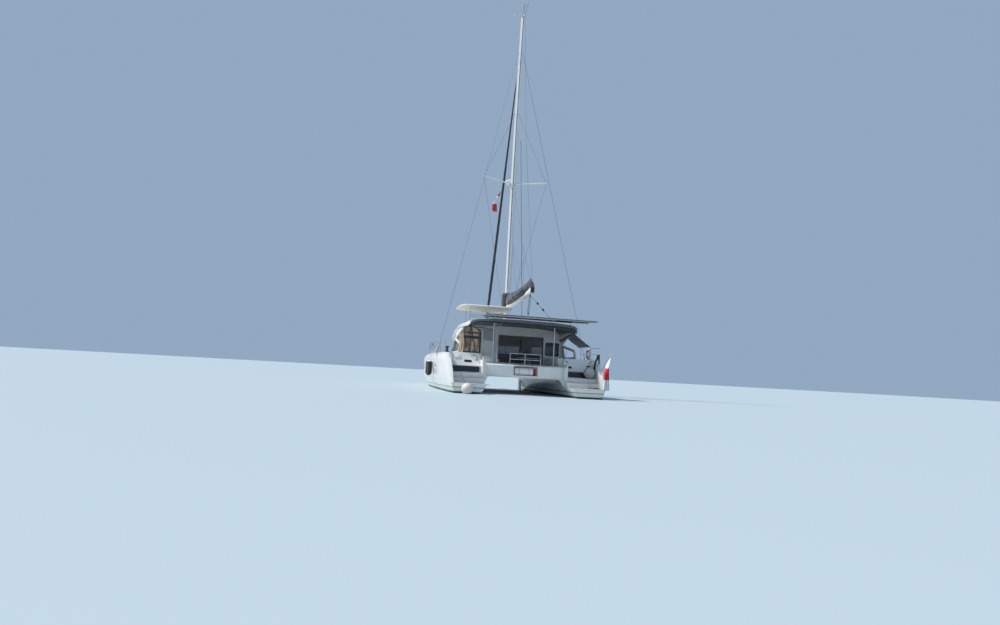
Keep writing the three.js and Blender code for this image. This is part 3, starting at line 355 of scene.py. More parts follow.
def alloyFinish():
    # clear anodised extrusion with lengthwise die lines
    finish = newFinish("anodisedAlloy", (0.56, 0.57, 0.58), 0.36, 0.9)
    spot = place(finish)
    greys = ramp(finish, cloud(finish, spot, 5, 6), (0.3, (0.60, 0.61, 0.62)), (0.8, (0.46, 0.47, 0.48)))
    link(finish, greys, "Base Color")
    drawn = cloud(finish, place(finish, (1, 40, 40)), 5, 3)
    link(finish, grade(finish, drawn, 0.3, 0.7, 0.28, 0.46), "Roughness")
    link(finish, relief(finish, cloud(finish, place(finish, (0.6, 90, 90)), 4, 2), 0.06, 0.0004), "Normal")
    return finish


def bronzeFinish():
    finish = newFinish("seaBronze", (0.42, 0.29, 0.13), 0.42, 1.0)
    spot = place(finish)
    link(finish, ramp(finish, cloud(finish, spot, 14, 7, 0.65),
                      (0.3, (0.48, 0.33, 0.15)), (0.6, (0.34, 0.24, 0.12)), (0.85, (0.16, 0.27, 0.20))),
         "Base Color")
    link(finish, grade(finish, cloud(finish, spot, 25, 4), 0.3, 0.7, 0.3, 0.6), "Roughness")
    link(finish, relief(finish, cloud(finish, spot, 90, 4), 0.2, 0.001), "Normal")
    return finish


def antifoulFinish():
    # rolled black antifouling with slime and chalky wear on its edges
    finish = newFinish("antifouling", (0.016, 0.019, 0.021), 0.82)
    spot = place(finish)
    slime = cloud(finish, spot, 6, 8, 0.65)
    link(finish, ramp(finish, slime, (0.3, (0.012, 0.015, 0.017)), (0.62, (0.03, 0.038, 0.036)),
                      (0.85, (0.07, 0.09, 0.05))), "Base Color")
    link(finish, relief(finish, cloud(finish, spot, 70, 5), 0.35, 0.002), "Normal")
    return finish


def teakFinish():
    # weathered grey planks laid fore and aft, with black caulking between them
    finish = newFinish("weatheredDeck", (0.30, 0.29, 0.27), 0.78)
    spot = place(finish)
    grain = cloud(finish, place(finish, (26, 1.4, 26)), 3, 6, 0.6)
    wood = ramp(finish, grain, (0.3, (0.24, 0.225, 0.21)), (0.6, (0.34, 0.325, 0.30)),
                (0.8, (0.42, 0.40, 0.37)))
    plank = stripes(finish, spot, 3.2, "X", "SAW")
    seam = calc(finish, "LESS_THAN", plank, 0.09)
    link(finish, blendColours(finish, seam, wood, (0.025, 0.024, 0.023)), "Base Color")
    height = calc(finish, "SUBTRACT", calc(finish, "MULTIPLY", grain, 0.3), seam)
    link(finish, relief(finish, height, 0.5, 0.002), "Normal")
    return finish


def oakFinish():
    # light oak joinery, satin, with its grain running across the boat
    finish = newFinish("oakJoinery", (0.42, 0.30, 0.18), 0.42)
    grain = cloud(finish, place(finish, (1.2, 22, 22)), 3, 7, 0.62, 0.6)
    wood = ramp(finish, grain, (0.3, (0.33, 0.225, 0.13)), (0.55, (0.45, 0.33, 0.20)),
                (0.8, (0.53, 0.40, 0.26)))
    link(finish, wood, "Base Color")
    link(finish, grade(finish, grain, 0.3, 0.7, 0.34, 0.52), "Roughness")
    link(finish, relief(finish, grain, 0.12, 0.0006), "Normal")
    return finish


def darkPlasticFinish(name="blackPlastic", colour=(0.022, 0.023, 0.026), roughness=0.48):
    finish = newFinish(name, colour, roughness)
    spot = place(finish)
    chalk = cloud(finish, spot, 12, 6, 0.6)
    worn = ramp(finish, chalk, (0.35, colour), (0.85, tuple(c * 1.5 + 0.03 for c in colour)))
    link(finish, worn, "Base Color")
    link(finish, grade(finish, chalk, 0.3, 0.8, roughness - 0.1, roughness + 0.14), "Roughness")
    link(finish, relief(finish, cloud(finish, spot, 240, 3), 0.14, 0.0005), "Normal")
    return finish


def cellFinish():
    # black solar cells, with silver bus bars and the gaps between cells
    finish = newFinish("solarCells", (0.008, 0.011, 0.022), 0.16, Coat_Weight=0.6, Coat_Roughness=0.05)
    spot = place(finish)
    shade = ramp(finish, cloud(finish, spot, 2.5, 4), (0.3, (0.006, 0.009, 0.018)),
                 (0.75, (0.014, 0.019, 0.036)))
    bars = calc(finish, "GREATER_THAN", stripes(finish, spot, 8, "X", "SIN"), 0.985)
    gaps = calc(finish, "MAXIMUM", calc(finish, "LESS_THAN", stripes(finish, spot, 2.0, "X", "SAW"), 0.03),
                calc(finish, "LESS_THAN", stripes(finish, spot, 2.0, "Y", "SAW"), 0.03))
    lined = blendColours(finish, bars, shade, (0.22, 0.23, 0.25))
    link(finish, blendColours(finish, gaps, lined, (0.035, 0.04, 0.05)), "Base Color")
    link(finish, grade(finish, cloud(finish, spot, 9, 6), 0.35, 0.8, 0.08, 0.36), "Roughness")
    return finish


# Soft finishes


def clothFinish(name, colour, pitch=0.0022, fade=0.14, roughness=0.9, sheen=0.25):
    # woven canvas: two sets of threads, faded in soft patches and creased
    finish = newFinish(name, colour, roughness, Sheen_Weight=sheen, Sheen_Roughness=0.5)
    spot = place(finish)
    patches = cloud(finish, spot, 1.7, 7, 0.6)
    pale = tuple(min(c * (1 + 2 * fade) + 0.012, 1) for c in colour)
    worn = ramp(finish, patches, (0.3, tuple(c * (1 - fade) for c in colour)), (0.55, colour), (0.82, pale))
    threads = weave(finish, spot, pitch)
    link(finish, blendColours(finish, calc(finish, "MULTIPLY", threads, 0.22), worn,
                              tuple(c * 0.55 for c in colour)), "Base Color")
    creased = relief(finish, cloud(finish, spot, 6, 5, 0.55, 0.8), 0.35, 0.012)
    link(finish, relief(finish, threads, 0.35, pitch * 0.5, creased), "Normal")
    return finish


def vinylFinish(name="creamVinyl", colour=(0.70, 0.67, 0.58), roughness=0.42):
    # inflated or moulded vinyl, scuffed grey where it rubs
    finish = newFinish(name, colour, roughness, Subsurface_Weight=0.05)
    spot = place(finish)
    rub = cloud(finish, spot, 5, 8, 0.68)
    link(finish, ramp(finish, rub, (0.38, colour), (0.66, tuple(c * 0.9 for c in colour)),
                      (0.88, tuple(c * 0.62 for c in colour))), "Base Color")
    link(finish, grade(finish, rub, 0.3, 0.85, roughness - 0.1, roughness + 0.2), "Roughness")
    link(finish, relief(finish, cloud(finish, spot, 160, 4), 0.12, 0.0008), "Normal")
    return finish


def ropeFinish(name, colour, fleck, pitch=0.012):
    # braided rope: strands that cross on the slant, with a coloured fleck
    finish = newFinish(name, colour, 0.85, Sheen_Weight=0.2)
    slant = place(finish, turn=(0.5, 0.6, 0.7))
    one = stripes(finish, slant, 0.5 / pitch, "X")
    two = stripes(finish, slant, 0.5 / pitch, "Z")
    strands = calc(finish, "MULTIPLY", one, two)
    marked = calc(finish, "GREATER_THAN", cloud(finish, place(finish), 0.8 / pitch, 2), 0.62)
    braid = blendColours(finish, calc(finish, "MULTIPLY", strands, 0.5), colour,
                         tuple(c * 0.4 for c in colour))
    link(finish, blendColours(finish, marked, braid, fleck), "Base Color")
    link(finish, relief(finish, strands, 0.6, pitch * 0.15), "Normal")
    return finish


def curtainFinish():
    # brown tinted flexible window, rippled and hazed, with painted highlights streaked down its folds
    finish = newFinish("brownWindow", (0.17, 0.115, 0.068), 0.24, Alpha=0.93, Specular_IOR_Level=0.35)
    spot = place(finish)
    hazeAndPaintedGlints = cloud(finish, place(finish, (3.4, 3.4, 0.55)), 2.2, 5, 0.6, 0.6)
    # the pale stop among the browns paints highlights down the folds
    link(finish, ramp(finish, hazeAndPaintedGlints, (0.32, (0.045, 0.028, 0.016)), (0.46, (0.20, 0.13, 0.075)),
                      (0.56, (0.62, 0.46, 0.30)), (0.66, (0.22, 0.14, 0.08)), (0.80, (0.06, 0.038, 0.022))),
         "Base Color")
    link(finish, grade(finish, hazeAndPaintedGlints, 0.3, 0.8, 0.08, 0.34), "Roughness")
    folds = relief(finish, cloud(finish, place(finish, (5, 5, 0.7)), 1.6, 4, 0.5, 0.9), 0.7, 0.03)
    link(finish, relief(finish, cloud(finish, spot, 14, 3), 0.15, 0.004, folds), "Normal")
    return finish


def bandedFinish(name, bands, axis, low, high, pitch=0.0018):
    # flag cloth in plain bands, set out along one axis between two heights, with creases and a fine weave
    finish = newFinish(name, bands[0], 0.82, Sheen_Weight=0.3)
    spot = place(finish)
    wander = calc(finish, "MULTIPLY", cloud(finish, spot, 5, 4), 0.06)
    along = grade(finish, calc(finish, "ADD", axisOf(finish, spot, axis), wander), low, high)
    painted = bands[0]
    for count, colour in enumerate(bands[1:], 1):
        past = calc(finish, "GREATER_THAN", along, count / len(bands))
        painted = blendColours(finish, past, painted, colour)
    threads = weave(finish, spot, pitch)
    woven = blendColours(finish, calc(finish, "MULTIPLY", threads, 0.16), painted, (0.3, 0.3, 0.32))
    link(finish, woven, "Base Color")
    creased = relief(finish, cloud(finish, place(finish, (6, 6, 1.2)), 2, 5), 0.5, 0.02)
    link(finish, relief(finish, threads, 0.3, pitch * 0.4, creased), "Normal")
    return finish


gelcoat = gelcoatFinish()
topsides = topsideFinish(hullPaint)
nonSlip = gripFinish()
# dark slate lining: painted shade for the hardtop's underside, a white moulding seen in deep shade
paintedShadeLining = liningFinish("paintedShadeLining", (0.13, 0.155, 0.165))
creamLining = liningFinish("creamLining", (0.84, 0.79, 0.68))
smokedGlass = smokedFinish()
windowGlass = smokedFinish("windowGlass", (0.030, 0.040, 0.046), 0.66)
clearGlass = smokedFinish("clearGlass", (0.012, 0.012, 0.018), 0.52)
polishedSteel = steelFinish()
paintedSpar = sparFinish()
rigWire = wireFinish()
anodisedAlloy = alloyFinish()
seaBronze = bronzeFinish()
antifouling = antifoulFinish()
weatheredDeck = teakFinish()
oakJoinery = oakFinish()
blackPlastic = darkPlasticFinish()
blackRubber = darkPlasticFinish("blackRubber", (0.016, 0.016, 0.018), 0.7)
greyPlastic = darkPlasticFinish("greyPlastic", (0.30, 0.31, 0.32), 0.5)
solarCells = cellFinish()
bagCanvas = clothFinish("bagCanvas", (0.058, 0.064, 0.072))
stripCanvas = clothFinish("stripCanvas", (0.040, 0.038, 0.042))
awningCanvas = clothFinish("awningCanvas", (0.075, 0.095, 0.120))
seatCloth = clothFinish("seatCloth", (0.33, 0.30, 0.26), 0.0028)
darkSeatCloth = clothFinish("darkSeatCloth", (0.10, 0.10, 0.11), 0.0028)
towelCloth = clothFinish("towelCloth", (0.055, 0.016, 0.026), 0.004, 0.2, 0.98, 0.3)
sockCloth = clothFinish("fenderSock", (0.018, 0.032, 0.028), 0.004, 0.2, 0.98, 0.4)
creamVinyl = vinylFinish()
whiteVinyl = vinylFinish("whiteVinyl", (0.76, 0.76, 0.73), 0.36)
brownWindow = curtainFinish()
whiteRope = ropeFinish("whiteRope", (0.62, 0.61, 0.57), (0.10, 0.14, 0.30))
darkRope = ropeFinish("darkRope", (0.030, 0.032, 0.040), (0.20, 0.20, 0.22))
print("finishes made:", len(bpy.data.materials))

# Shaping tools


def applyPlace():
    bpy.ops.object.transform_apply(location=True, rotation=True, scale=True)
    return bpy.context.object


def faceOutwards():
    # from edit mode: turns every face of the mesh outwards and goes back to object mode
    bpy.ops.mesh.select_all(action="SELECT")
    bpy.ops.mesh.normals_make_consistent(inside=False)
    bpy.ops.object.mode_set(mode="OBJECT")


def addBlock(low, high, turn=(0, 0, 0)):
    startFresh()
    middle = [(a + b) / 2 for a, b in zip(low, high)]
    bpy.ops.mesh.primitive_cube_add(size=1, location=middle, rotation=turn)
    bpy.context.object.scale = [b - a for a, b in zip(low, high)]
    return applyPlace()


def addBar(start, end, radius, sides=12, endRadius=None):
    startFresh()
    start, end = Vector(start), Vector(end)
    turn = (end - start).to_track_quat("Z", "Y").to_euler()
    bpy.ops.mesh.primitive_cone_add(vertices=sides, radius1=radius, depth=(end - start).length,
                                    radius2=radius if endRadius is None else endRadius,
                                    location=(start + end) / 2, rotation=turn)
    return applyPlace()


def addBall(middle, radius, segments=16):
    startFresh()
    bpy.ops.mesh.primitive_uv_sphere_add(segments=segments, ring_count=segments // 2, radius=radius,
                                         location=middle)
    return applyPlace()


def addRing(middle, radius, tube, turn=(0, 0, 0), around=32, section=10):
    startFresh()
    bpy.ops.mesh.primitive_torus_add(major_radius=radius, minor_radius=tube, major_segments=around,
                                     minor_segments=section, location=middle, rotation=turn)
    return applyPlace()


def addTube(points, radius, section=8, smooth=False):
    # a tube along points, through round bends where it is smooth, and closed at both ends
    startFresh()
    line = bpy.data.curves.new("line", "CURVE")
    line.dimensions = "3D"
    line.bevel_depth = radius
    line.bevel_resolution = max(section // 2 - 2, 0)
    line.use_fill_caps = True
    line.resolution_u = 6
    run = line.splines.new("BEZIER" if smooth else "POLY")
    spots = run.bezier_points if smooth else run.points
    spots.add(len(points) - 1)
    for spot, point in zip(spots, points):
        if smooth:
            spot.co = point
            spot.handle_left_type = spot.handle_right_type = "AUTO"
        else:
            spot.co = (*point, 1)
    tube = bpy.data.objects.new("tube", line)
    scene.collection.objects.link(tube)
    choose(tube)
    bpy.ops.object.convert(target="MESH")
    tube = bpy.context.object
    bpy.ops.object.mode_set(mode="EDIT")
    bpy.ops.mesh.select_all(action="SELECT")
    bpy.ops.mesh.remove_doubles(threshold=0.00002)
    bpy.ops.mesh.normals_make_consistent(inside=False)
    bpy.ops.object.mode_set(mode="OBJECT")
    return tube


def addPlate(outline, way):
    # a flat outline of points, drawn out along a vector
    startFresh()
    bpy.ops.mesh.primitive_circle_add(vertices=len(outline), fill_type="NGON")
    plate = bpy.context.object
    for vert, point in zip(plate.data.vertices, outline):
        vert.co = point
    bpy.ops.object.mode_set(mode="EDIT")
    bpy.ops.mesh.select_all(action="SELECT")
    bpy.ops.mesh.extrude_region_move(TRANSFORM_OT_translate={"value": way})
    faceOutwards()
    return plate


def addLoft(rings):
    # a closed skin through rings of points, all of one count, drawn out ring by ring from a circle
    startFresh()
    bpy.ops.mesh.primitive_circle_add(vertices=len(rings[0]), fill_type="NGON")
    skin = bpy.context.object
    for vert, point in zip(skin.data.vertices, rings[0]):
        vert.co = point
    bpy.ops.object.mode_set(mode="EDIT")
    shape = bmesh.from_edit_mesh(skin.data)
    last = [Vector(point) for point in rings[0]]
    for ring in rings[1:]:
        bpy.ops.mesh.extrude_region_move()
        shape = bmesh.from_edit_mesh(skin.data)
        for vert in [v for v in shape.verts if v.select]:
            nearest = min(range(len(last)), key=lambda k: (vert.co - last[k]).length_squared)
            vert.co = ring[nearest]
        last = [Vector(point) for point in ring]
    bmesh.update_edit_mesh(skin.data)
    faceOutwards()
    return skin


def addTurned(profile, middle, sides=24, way=(0, 0, 1)):
    # a turned shape: a profile of radius and height, stood at a point and tipped to a direction
    turn = Vector(way).to_track_quat("Z", "Y").to_matrix()
    rings = [[turn @ Vector((r * math.cos(a), r * math.sin(a), h)) + Vector(middle)
              for a in (2 * math.pi * k / sides for k in range(sides))] for r, h in profile]
    return addLoft(rings)


def roundOutline(x0, x1, y0, y1, r, steps=5):
    corners = ((x1 - r, y0 + r, -90), (x1 - r, y1 - r, 0), (x0 + r, y1 - r, 90), (x0 + r, y0 + r, 180))
    return [(cx + r * math.cos(math.radians(start + 90 * k / steps)),
             cy + r * math.sin(math.radians(start + 90 * k / steps)))
            for cx, cy, start in corners for k in range(steps + 1)]


def modify(piece, kind, **settings):
    choose(piece)
    made = piece.modifiers.new(kind.lower(), kind)
    for name, value in settings.items():
        setattr(made, name, value)
    bpy.ops.object.modifier_apply(modifier=made.name)
    return piece


def soften(piece, width, segments=2, angle=35):
    return modify(piece, "BEVEL", width=width, segments=segments, limit_method="ANGLE",
                  angle_limit=math.radians(angle), harden_normals=False)


def joinUp(pieces):
    choose(*pieces)
    if len(pieces) > 1:
        bpy.ops.object.join()
    return bpy.context.object


def paintFaces(piece, finish, test):
    # gives a finish to the faces that pass a test on their middle and normal
    if finish.name not in piece.data.materials:
        piece.data.materials.append(finish)
    index = piece.data.materials.find(finish.name)
    for face in piece.data.polygons:
        if test(face.center, face.normal):
            face.material_index = index
    return piece


bodyOfNode = {node: body for body, nodes in frame["record"]["behaviour"]["bodies"].items() for node in nodes}


def settle(piece, name, finish=None, body="platform", angle=38, replaces=()):
    # names a finished piece, gives it its finish and body, and shades it smooth up to an angle
    piece.name = piece.data.name = name
    if finish is not None:
        piece.data.materials.clear()
        piece.data.materials.append(finish)
    choose(piece)
    if angle:
        bpy.ops.object.shade_smooth_by_angle(angle=math.radians(angle))
    if body:
        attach(piece, body)
    if replaces:
        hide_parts(*replaces)
    return piece


def mouldFrom(node, finish, edge=0.0, angle=32):
    # a merged copy of a CAD node with its flat faces whole again and its edges rounded
    piece = bpy.data.objects.new(node + "_finished", frame["nodes"][node].data.copy())
    scene.collection.objects.link(piece)
    choose(piece)
    bpy.ops.mesh.customdata_custom_splitnormals_clear()
    bpy.ops.object.mode_set(mode="EDIT")
    bpy.ops.mesh.select_all(action="SELECT")
    bpy.ops.mesh.remove_doubles(threshold=0.00005)
    bpy.ops.mesh.dissolve_limited(angle_limit=math.radians(0.5))
    bpy.ops.object.mode_set(mode="OBJECT")
    if edge:
        soften(piece, edge)
    return settle(piece, node + "_finished", finish, bodyOfNode[node], angle, (node,))


touched = {}


def surfaceAt(node, start, way):
    # where a line from a point first meets a CAD node, and how that face looks
    if node not in touched:
        mesh = frame["nodes"][node].data
        touched[node] = BVHTree.FromPolygons([v.co.copy() for v in mesh.vertices],
                                             [tuple(p.vertices) for p in mesh.polygons])
    spot, normal, _, _ = touched[node].ray_cast(Vector(start), Vector(way))
    return spot, normal


# Mouldings and metalwork, from the frame's own nodes

sidesOf = ("starboard", "port")
handed = ((1, "starboard"), (-1, "port"))  # the sign of x on each side
hullEdge = {"round": 0.010, "wing": 3.39, "treads": (0.45, 0.68, 0.90, 1.20), "wellFront": -4.61}


def makeHulls(setup):
    for side in sidesOf:
        hull = mouldFrom("hull_" + side, topsides, setup["round"])
        paintFaces(hull, nonSlip, lambda spot, normal: normal.z > 0.99 and abs(spot.x) < setup["wing"]
                   and spot.y < setup["wellFront"] and any(abs(spot.z - z) < 0.004 for z in setup["treads"]))


def makeStructure():
    mouldFrom("bridgedeck", gelcoat, 0.012)
    mouldFrom("aft_beam", gelcoat, 0.012)
    mouldFrom("coachroof", gelcoat, 0.010)
    mouldFrom("aft_bulkhead", gelcoat, 0.006)
    for side in sidesOf:
        mouldFrom("side_wing_" + side, gelcoat, 0.012)
    mouldFrom("helm_station", gelcoat, 0.018)
    roof = mouldFrom("hardtop", gelcoat, 0.014)
    # the roof's underside and the low part of its aft rim get the dark lining, as painted shade
    paintFaces(roof, paintedShadeLining, lambda spot, normal: normal.z < -0.35 or (
        normal.y < -0.7 and spot.z < 3.36))
    canopy = mouldFrom("helm_bimini", gelcoat, 0.016)
    paintFaces(canopy, creamLining, lambda spot, normal: normal.z < 0.5)


def makeGlazing():
    for side in sidesOf:
        mouldFrom("side_window_" + side, windowGlass)
    mouldFrom("front_window", windowGlass)
    for leaf in ("door_fixed_pane", "sliding_door"):
        low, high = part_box(leaf)
        door = mouldFrom(leaf, blackPlastic, 0.003)
        rim = 0.052
        paintFaces(door, clearGlass, lambda spot, normal: abs(normal.y) > 0.9
                   and low.x + rim < spot.x < high.x - rim and low.z + rim < spot.z < high.z - rim)


def makeMetalwork():
    for side in sidesOf:
        mouldFrom("guard_rail_" + side, polishedSteel, 0, 65)
        mouldFrom("cap_shroud_" + side, rigWire, 0, 65)
        mouldFrom("hardtop_post_" + side, anodisedAlloy, 0, 50)
        mouldFrom("rudder_" + side, antifouling, 0.003)
        mouldFrom("saildrive_" + side, antifouling, 0.004)
        mouldFrom("propeller_" + side, seaBronze, 0.002)
        mouldFrom("locker_lid_" + side, gelcoat, 0.008)
    for node in ("helm_bimini_frame", "bench_rail", "swim_ladder", "steering_wheel", "ensign_staff"):
        mouldFrom(node, polishedSteel, 0, 62)
    mouldFrom("anchor", polishedSteel, 0.003, 50)
    mouldFrom("crossbeam", paintedSpar, 0.004, 40)
    mouldFrom("solar_rack", anodisedAlloy, 0.003, 40)
    mouldFrom("solar_panel", solarCells, 0.003)
    spar = mouldFrom("boom", paintedSpar, 0.0008, 40)  # wider rounding would fill the gooseneck's clearance
    paintFaces(spar, blackPlastic, lambda spot, normal: normal.y < -0.5 and spot.y < -5.8)
    mouldFrom("cockpit_table", weatheredDeck, 0.006)
    mouldFrom("saloon_table", oakJoinery, 0.006)
    mouldFrom("galley", oakJoinery, 0.010)


makeHulls(hullEdge)
makeStructure()
makeGlazing()
makeMetalwork()
print("mouldings and metalwork made")

mastShape = {
    "foot": (-0.80, 3.30), "top": 20.38, "lengths": 6, "bow": 0.45, "bend": 0.80,
    "half": (0.092, 0.150), "spreaderZ": 11.06,
}


def mastY(z, shape=mastShape):
    # the mast's middle at a height, along the straight lengths that follow its bend
    def bent(k):
        t = k / shape["lengths"]
        return shape["foot"][0] + shape["bow"] * t - shape["bend"] * t * t
    along = shape["lengths"] * (z - shape["foot"][1]) / (shape["top"] - shape["foot"][1])
    below = min(int(along), shape["lengths"] - 1)
    return bent(below) + (bent(below + 1) - bent(below)) * (along - below)


def makeMast(shape):
    mast = mouldFrom("mast", paintedSpar, 0, 50)
    width = shape["half"][0] + 0.02
    dome = shape["spreaderZ"] + 0.15
    paintFaces(mast, rigWire, lambda spot, normal: abs(spot.x) > width and (
        abs(spot.z - shape["spreaderZ"]) > 0.20))
    paintFaces(mast, gelcoat, lambda spot, normal: abs(spot.x) < 0.32 and abs(spot.z - dome - 0.1) < 0.16
               and spot.y > mastY(dome) + shape["half"][1] + 0.005)
    # the antenna and the wind vane over the masthead
    paintFaces(mast, blackPlastic, lambda spot, normal: spot.z > shape["top"] + 0.06)


makeMast(mastShape)

# Spar gear and rigging

boomShape = {"pin": (0, -1.02, 4.39), "end": -5.85, "rise": 0.34}


def boomAt(y, shape=boomShape):
    along = (shape["pin"][1] - y) / (shape["pin"][1] - shape["end"])
    return shape["pin"][2] + shape["rise"] * along


def makeMasthead(shape):
    # the lamp, the halyard sheaves' cheeks and a bracket arm at the masthead
    y, z = mastY(shape["top"]), shape["top"]
    lamp = addTurned([(0.02, 0), (0.045, 0.0), (0.045, 0.07), (0.032, 0.09), (0.01, 0.1)],
                     (-0.06, y + 0.12, z), 16)
    settle(lamp, "masthead_lamp", clearGlass)
    cheeks = [soften(addBlock((side * 0.075 - 0.006, y - 0.20, z - 0.16),
                              (side * 0.075 + 0.006, y + 0.19, z + 0.02)), 0.004) for side in (-1, 1)]
    settle(joinUp(cheeks), "masthead_cheeks", anodisedAlloy)
    arm = [addTube([(0, y + 0.10, z + 0.01), (-0.18, y + 0.16, z + 0.05), (-0.38, y + 0.18, z + 0.07)],
                   0.012, 8, True),
           soften(addBlock((-0.46, y + 0.13, z + 0.045), (-0.34, y + 0.23, z + 0.10)), 0.015, 3)]
    settle(joinUp(arm), "masthead_bracket", creamVinyl, "platform", 50)


makeMasthead(mastShape)

rigging = {
    "line": 0.007,
    "thinLine": 0.0045,
    "halyards": (((0.10, 13.9), (0.16, 5.25)), ((-0.10, 20.2), (-0.13, 5.25)), ((0.10, 18.2), (0.19, 5.25))),
}


def makeRunningRigging(setup):
    # halyards down the mast's faces, a spare halyard, the topping lift and a radar reflector
    front = mastShape["half"][1]
    runs = []
    for (topX, topZ), (footX, footZ) in setup["halyards"]:
        points = [(topX + (footX - topX) * k / 6, 0, topZ + (footZ - topZ) * k / 6) for k in range(7)]
        points = [(x, mastY(z) - front - 0.035, z) for x, _, z in points]
        runs.append(addTube(points, setup["line"], 8))
    settle(joinUp(runs), "mast_halyards", whiteRope)
    # kept forward of the boom's pin, so that the swung sail bag passes behind it
    spare = addTube([(0.20, -1.36, 13.3), (0.50, -1.18, 8.95), (0.83, -0.98, 4.35), (0.85, -0.98, 3.32)],
                    0.011, 8)
    settle(spare, "spare_halyard", darkRope)
    boomTip = (0, boomShape["end"] + 0.06, boomAt(boomShape["end"]) + 0.13)
    lift = addTube([(0.03, mastY(20.3) - 0.32, 20.28), (0.02, -3.2, 12.6), boomTip], setup["thinLine"], 8)
    settle(lift, "topping_lift", darkRope, None)
    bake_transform(lift)
    reflector = [addTurned([(0.004, -0.14), (0.030, -0.14), (0.036, -0.125), (0.036, 0.125), (0.030, 0.14),
                            (0.004, 0.14)], (0.385, -1.41, 9.80), 20, (0.055, -0.014, 1)),
                 addRing((0.385, -1.41, 9.80), 0.038, 0.005, (0, 0, 0), 24, 8),
                 addRing((0.380, -1.41, 9.90), 0.038, 0.005, (0, 0, 0), 24, 8),
                 addRing((0.390, -1.41, 9.70), 0.038, 0.005, (0, 0, 0), 24, 8)]
    settle(joinUp(reflector), "radar_reflector", greyPlastic, "platform", 40)


lazyJacks = {"fromZ": 10.6, "knotZ": 7.35, "knotY": -2.75, "stations": (-2.2, -3.5, -4.9)}


def makeLazyJacks(setup):
    for side, name in handed:
        top = (side * 0.10, mastY(setup["fromZ"]) - 0.16, setup["fromZ"])
        knot = (side * 0.26, setup["knotY"], setup["knotZ"])
        lines = [addTube([top, knot], 0.004, 8), addBall(knot, 0.020, 10)]
        for y in setup["stations"]:
            lines.append(addTube([knot, (side * 0.20, y, boomAt(y) + 0.42)], 0.004, 8))
        jack = settle(joinUp(lines), "lazy_jack_" + name, darkRope, None)
        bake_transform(jack)


sheets = {
    "main": ((0, -5.50, 4.56), (0, -5.32, 3.62)),
    "guy": ((0.02, -5.46, 4.54), (1.30, -4.62, 3.62)),
    "blocks": (0.35, 0.62),
}


def makeBlock(middle, way, size):
    way = Vector(way).normalized()
    cheek = Vector((1, 0, 0)) if abs(way.x) < 0.7 else Vector((0, 1, 0))
    across = way.cross(cheek).normalized()
    rim = [Vector(middle) + way * (size * 1.25 * math.cos(a)) + across * (size * 0.8 * math.sin(a))
           - cheek * 0.018 for a in (2 * math.pi * k / 16 for k in range(16))]
    block = soften(addPlate(rim, cheek * 0.036), 0.006)
    pin = addBar(Vector(middle) - cheek * 0.026, Vector(middle) + cheek * 0.026, size * 0.28, 12)
    return [block, pin]


def makeSheets(setup):
    top, foot = (Vector(p) for p in setup["main"])
    tackle = []
    for k in range(4):
        drift = 0.030 * (k - 1.5)
        tackle.append(addTube([top + Vector((drift, 0, -0.10)), foot + Vector((drift, 0, 0.12))], 0.006, 8))
    tackle = settle(joinUp(tackle), "mainsheet", darkRope, None)
    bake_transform(tackle)
    settle(joinUp(makeBlock(top + Vector((0, 0, -0.06)), (0, 0, 1), 0.055)), "mainsheet_upper_block",
           blackPlastic, "boom")
    settle(joinUp(makeBlock(foot + Vector((0, 0, 0.07)), (0, 0, 1), 0.055)), "mainsheet_lower_block",
           blackPlastic)
    top, foot = (Vector(p) for p in setup["guy"])
    guy = addTube([top, foot], 0.007, 8)
    settle(guy, "boom_guy", darkRope, None)
    blocks = []
    for part in setup["blocks"]:
        blocks += makeBlock(top.lerp(foot, part), foot - top, 0.06)
    pair = settle(joinUp(blocks), "guy_blocks", blackPlastic, None)
    for piece in (guy, pair):
        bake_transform(piece)


makeRunningRigging(rigging)
makeLazyJacks(lazyJacks)
makeSheets(sheets)
print("rigging made")

# Sails, covers and other cloth

bagShape = {
    "run": (-1.23, -5.83), "steps": 52,
    "feet": ((0.0, -0.06), (0.15, -0.10), (0.45, -0.10), (0.72, -0.07), (0.90, -0.02), (1.0, 0.05)),
    "ridges": ((0.0, 0.69), (0.15, 0.60), (0.43, 0.485), (0.71, 0.52), (0.90, 0.59), (0.945, 0.57),
               (1.0, 0.20)),
    "widths": ((0.0, 0.15), (0.15, 0.24), (0.43, 0.30), (0.71, 0.28), (0.90, 0.19), (1.0, 0.11)),
    "seams": (0.20, 0.46, 0.70, 0.88),
    "collar": {"z": (4.30, 5.17), "half": (0.245, 0.27), "y": -0.775},
}


def between(pairs, t):
    for (t0, v0), (t1, v1) in zip(pairs, pairs[1:]):
        if t <= t1:
            ease = (t - t0) / (t1 - t0)
            return v0 + (v1 - v0) * (3 * ease * ease - 2 * ease ** 3)
    return pairs[-1][1]


def bagPoint(t, k, shape, out=0.0, count=32):
    # a point on the bag's skin, by the share of its length and the place round its section
    y = shape["run"][0] + (shape["run"][1] - shape["run"][0]) * t
    foot, peak, half = (between(shape[name], t) for name in ("feet", "ridges", "widths"))
    peak -= 0.030 * abs(math.sin(math.pi * t * 5.5)) * min(1, t * 5)
    half *= 1 - 0.06 * math.cos(t * 2 * math.pi * 6)
    a = 2 * math.pi * (k + 0.5) / count
    across, up = math.sin(a), -math.cos(a)
    lean = max(up, 0) ** 1.6
    x = half * across * (1 - 0.80 * lean) * (0.55 + 0.45 * min(1, (up + 1) * 1.4))
    z = boomAt(y) + foot + (peak - foot) * (up + 1) / 2
    fold = 0.010 * math.sin(t * 52 + k * 0.7) * abs(across) + 0.006 * math.sin(t * 23 - k * 0.4)
    grow = 1 + (fold + out) / max(half, 0.05)
    return Vector((x * grow, y, z + fold * 0.6 + out * up))


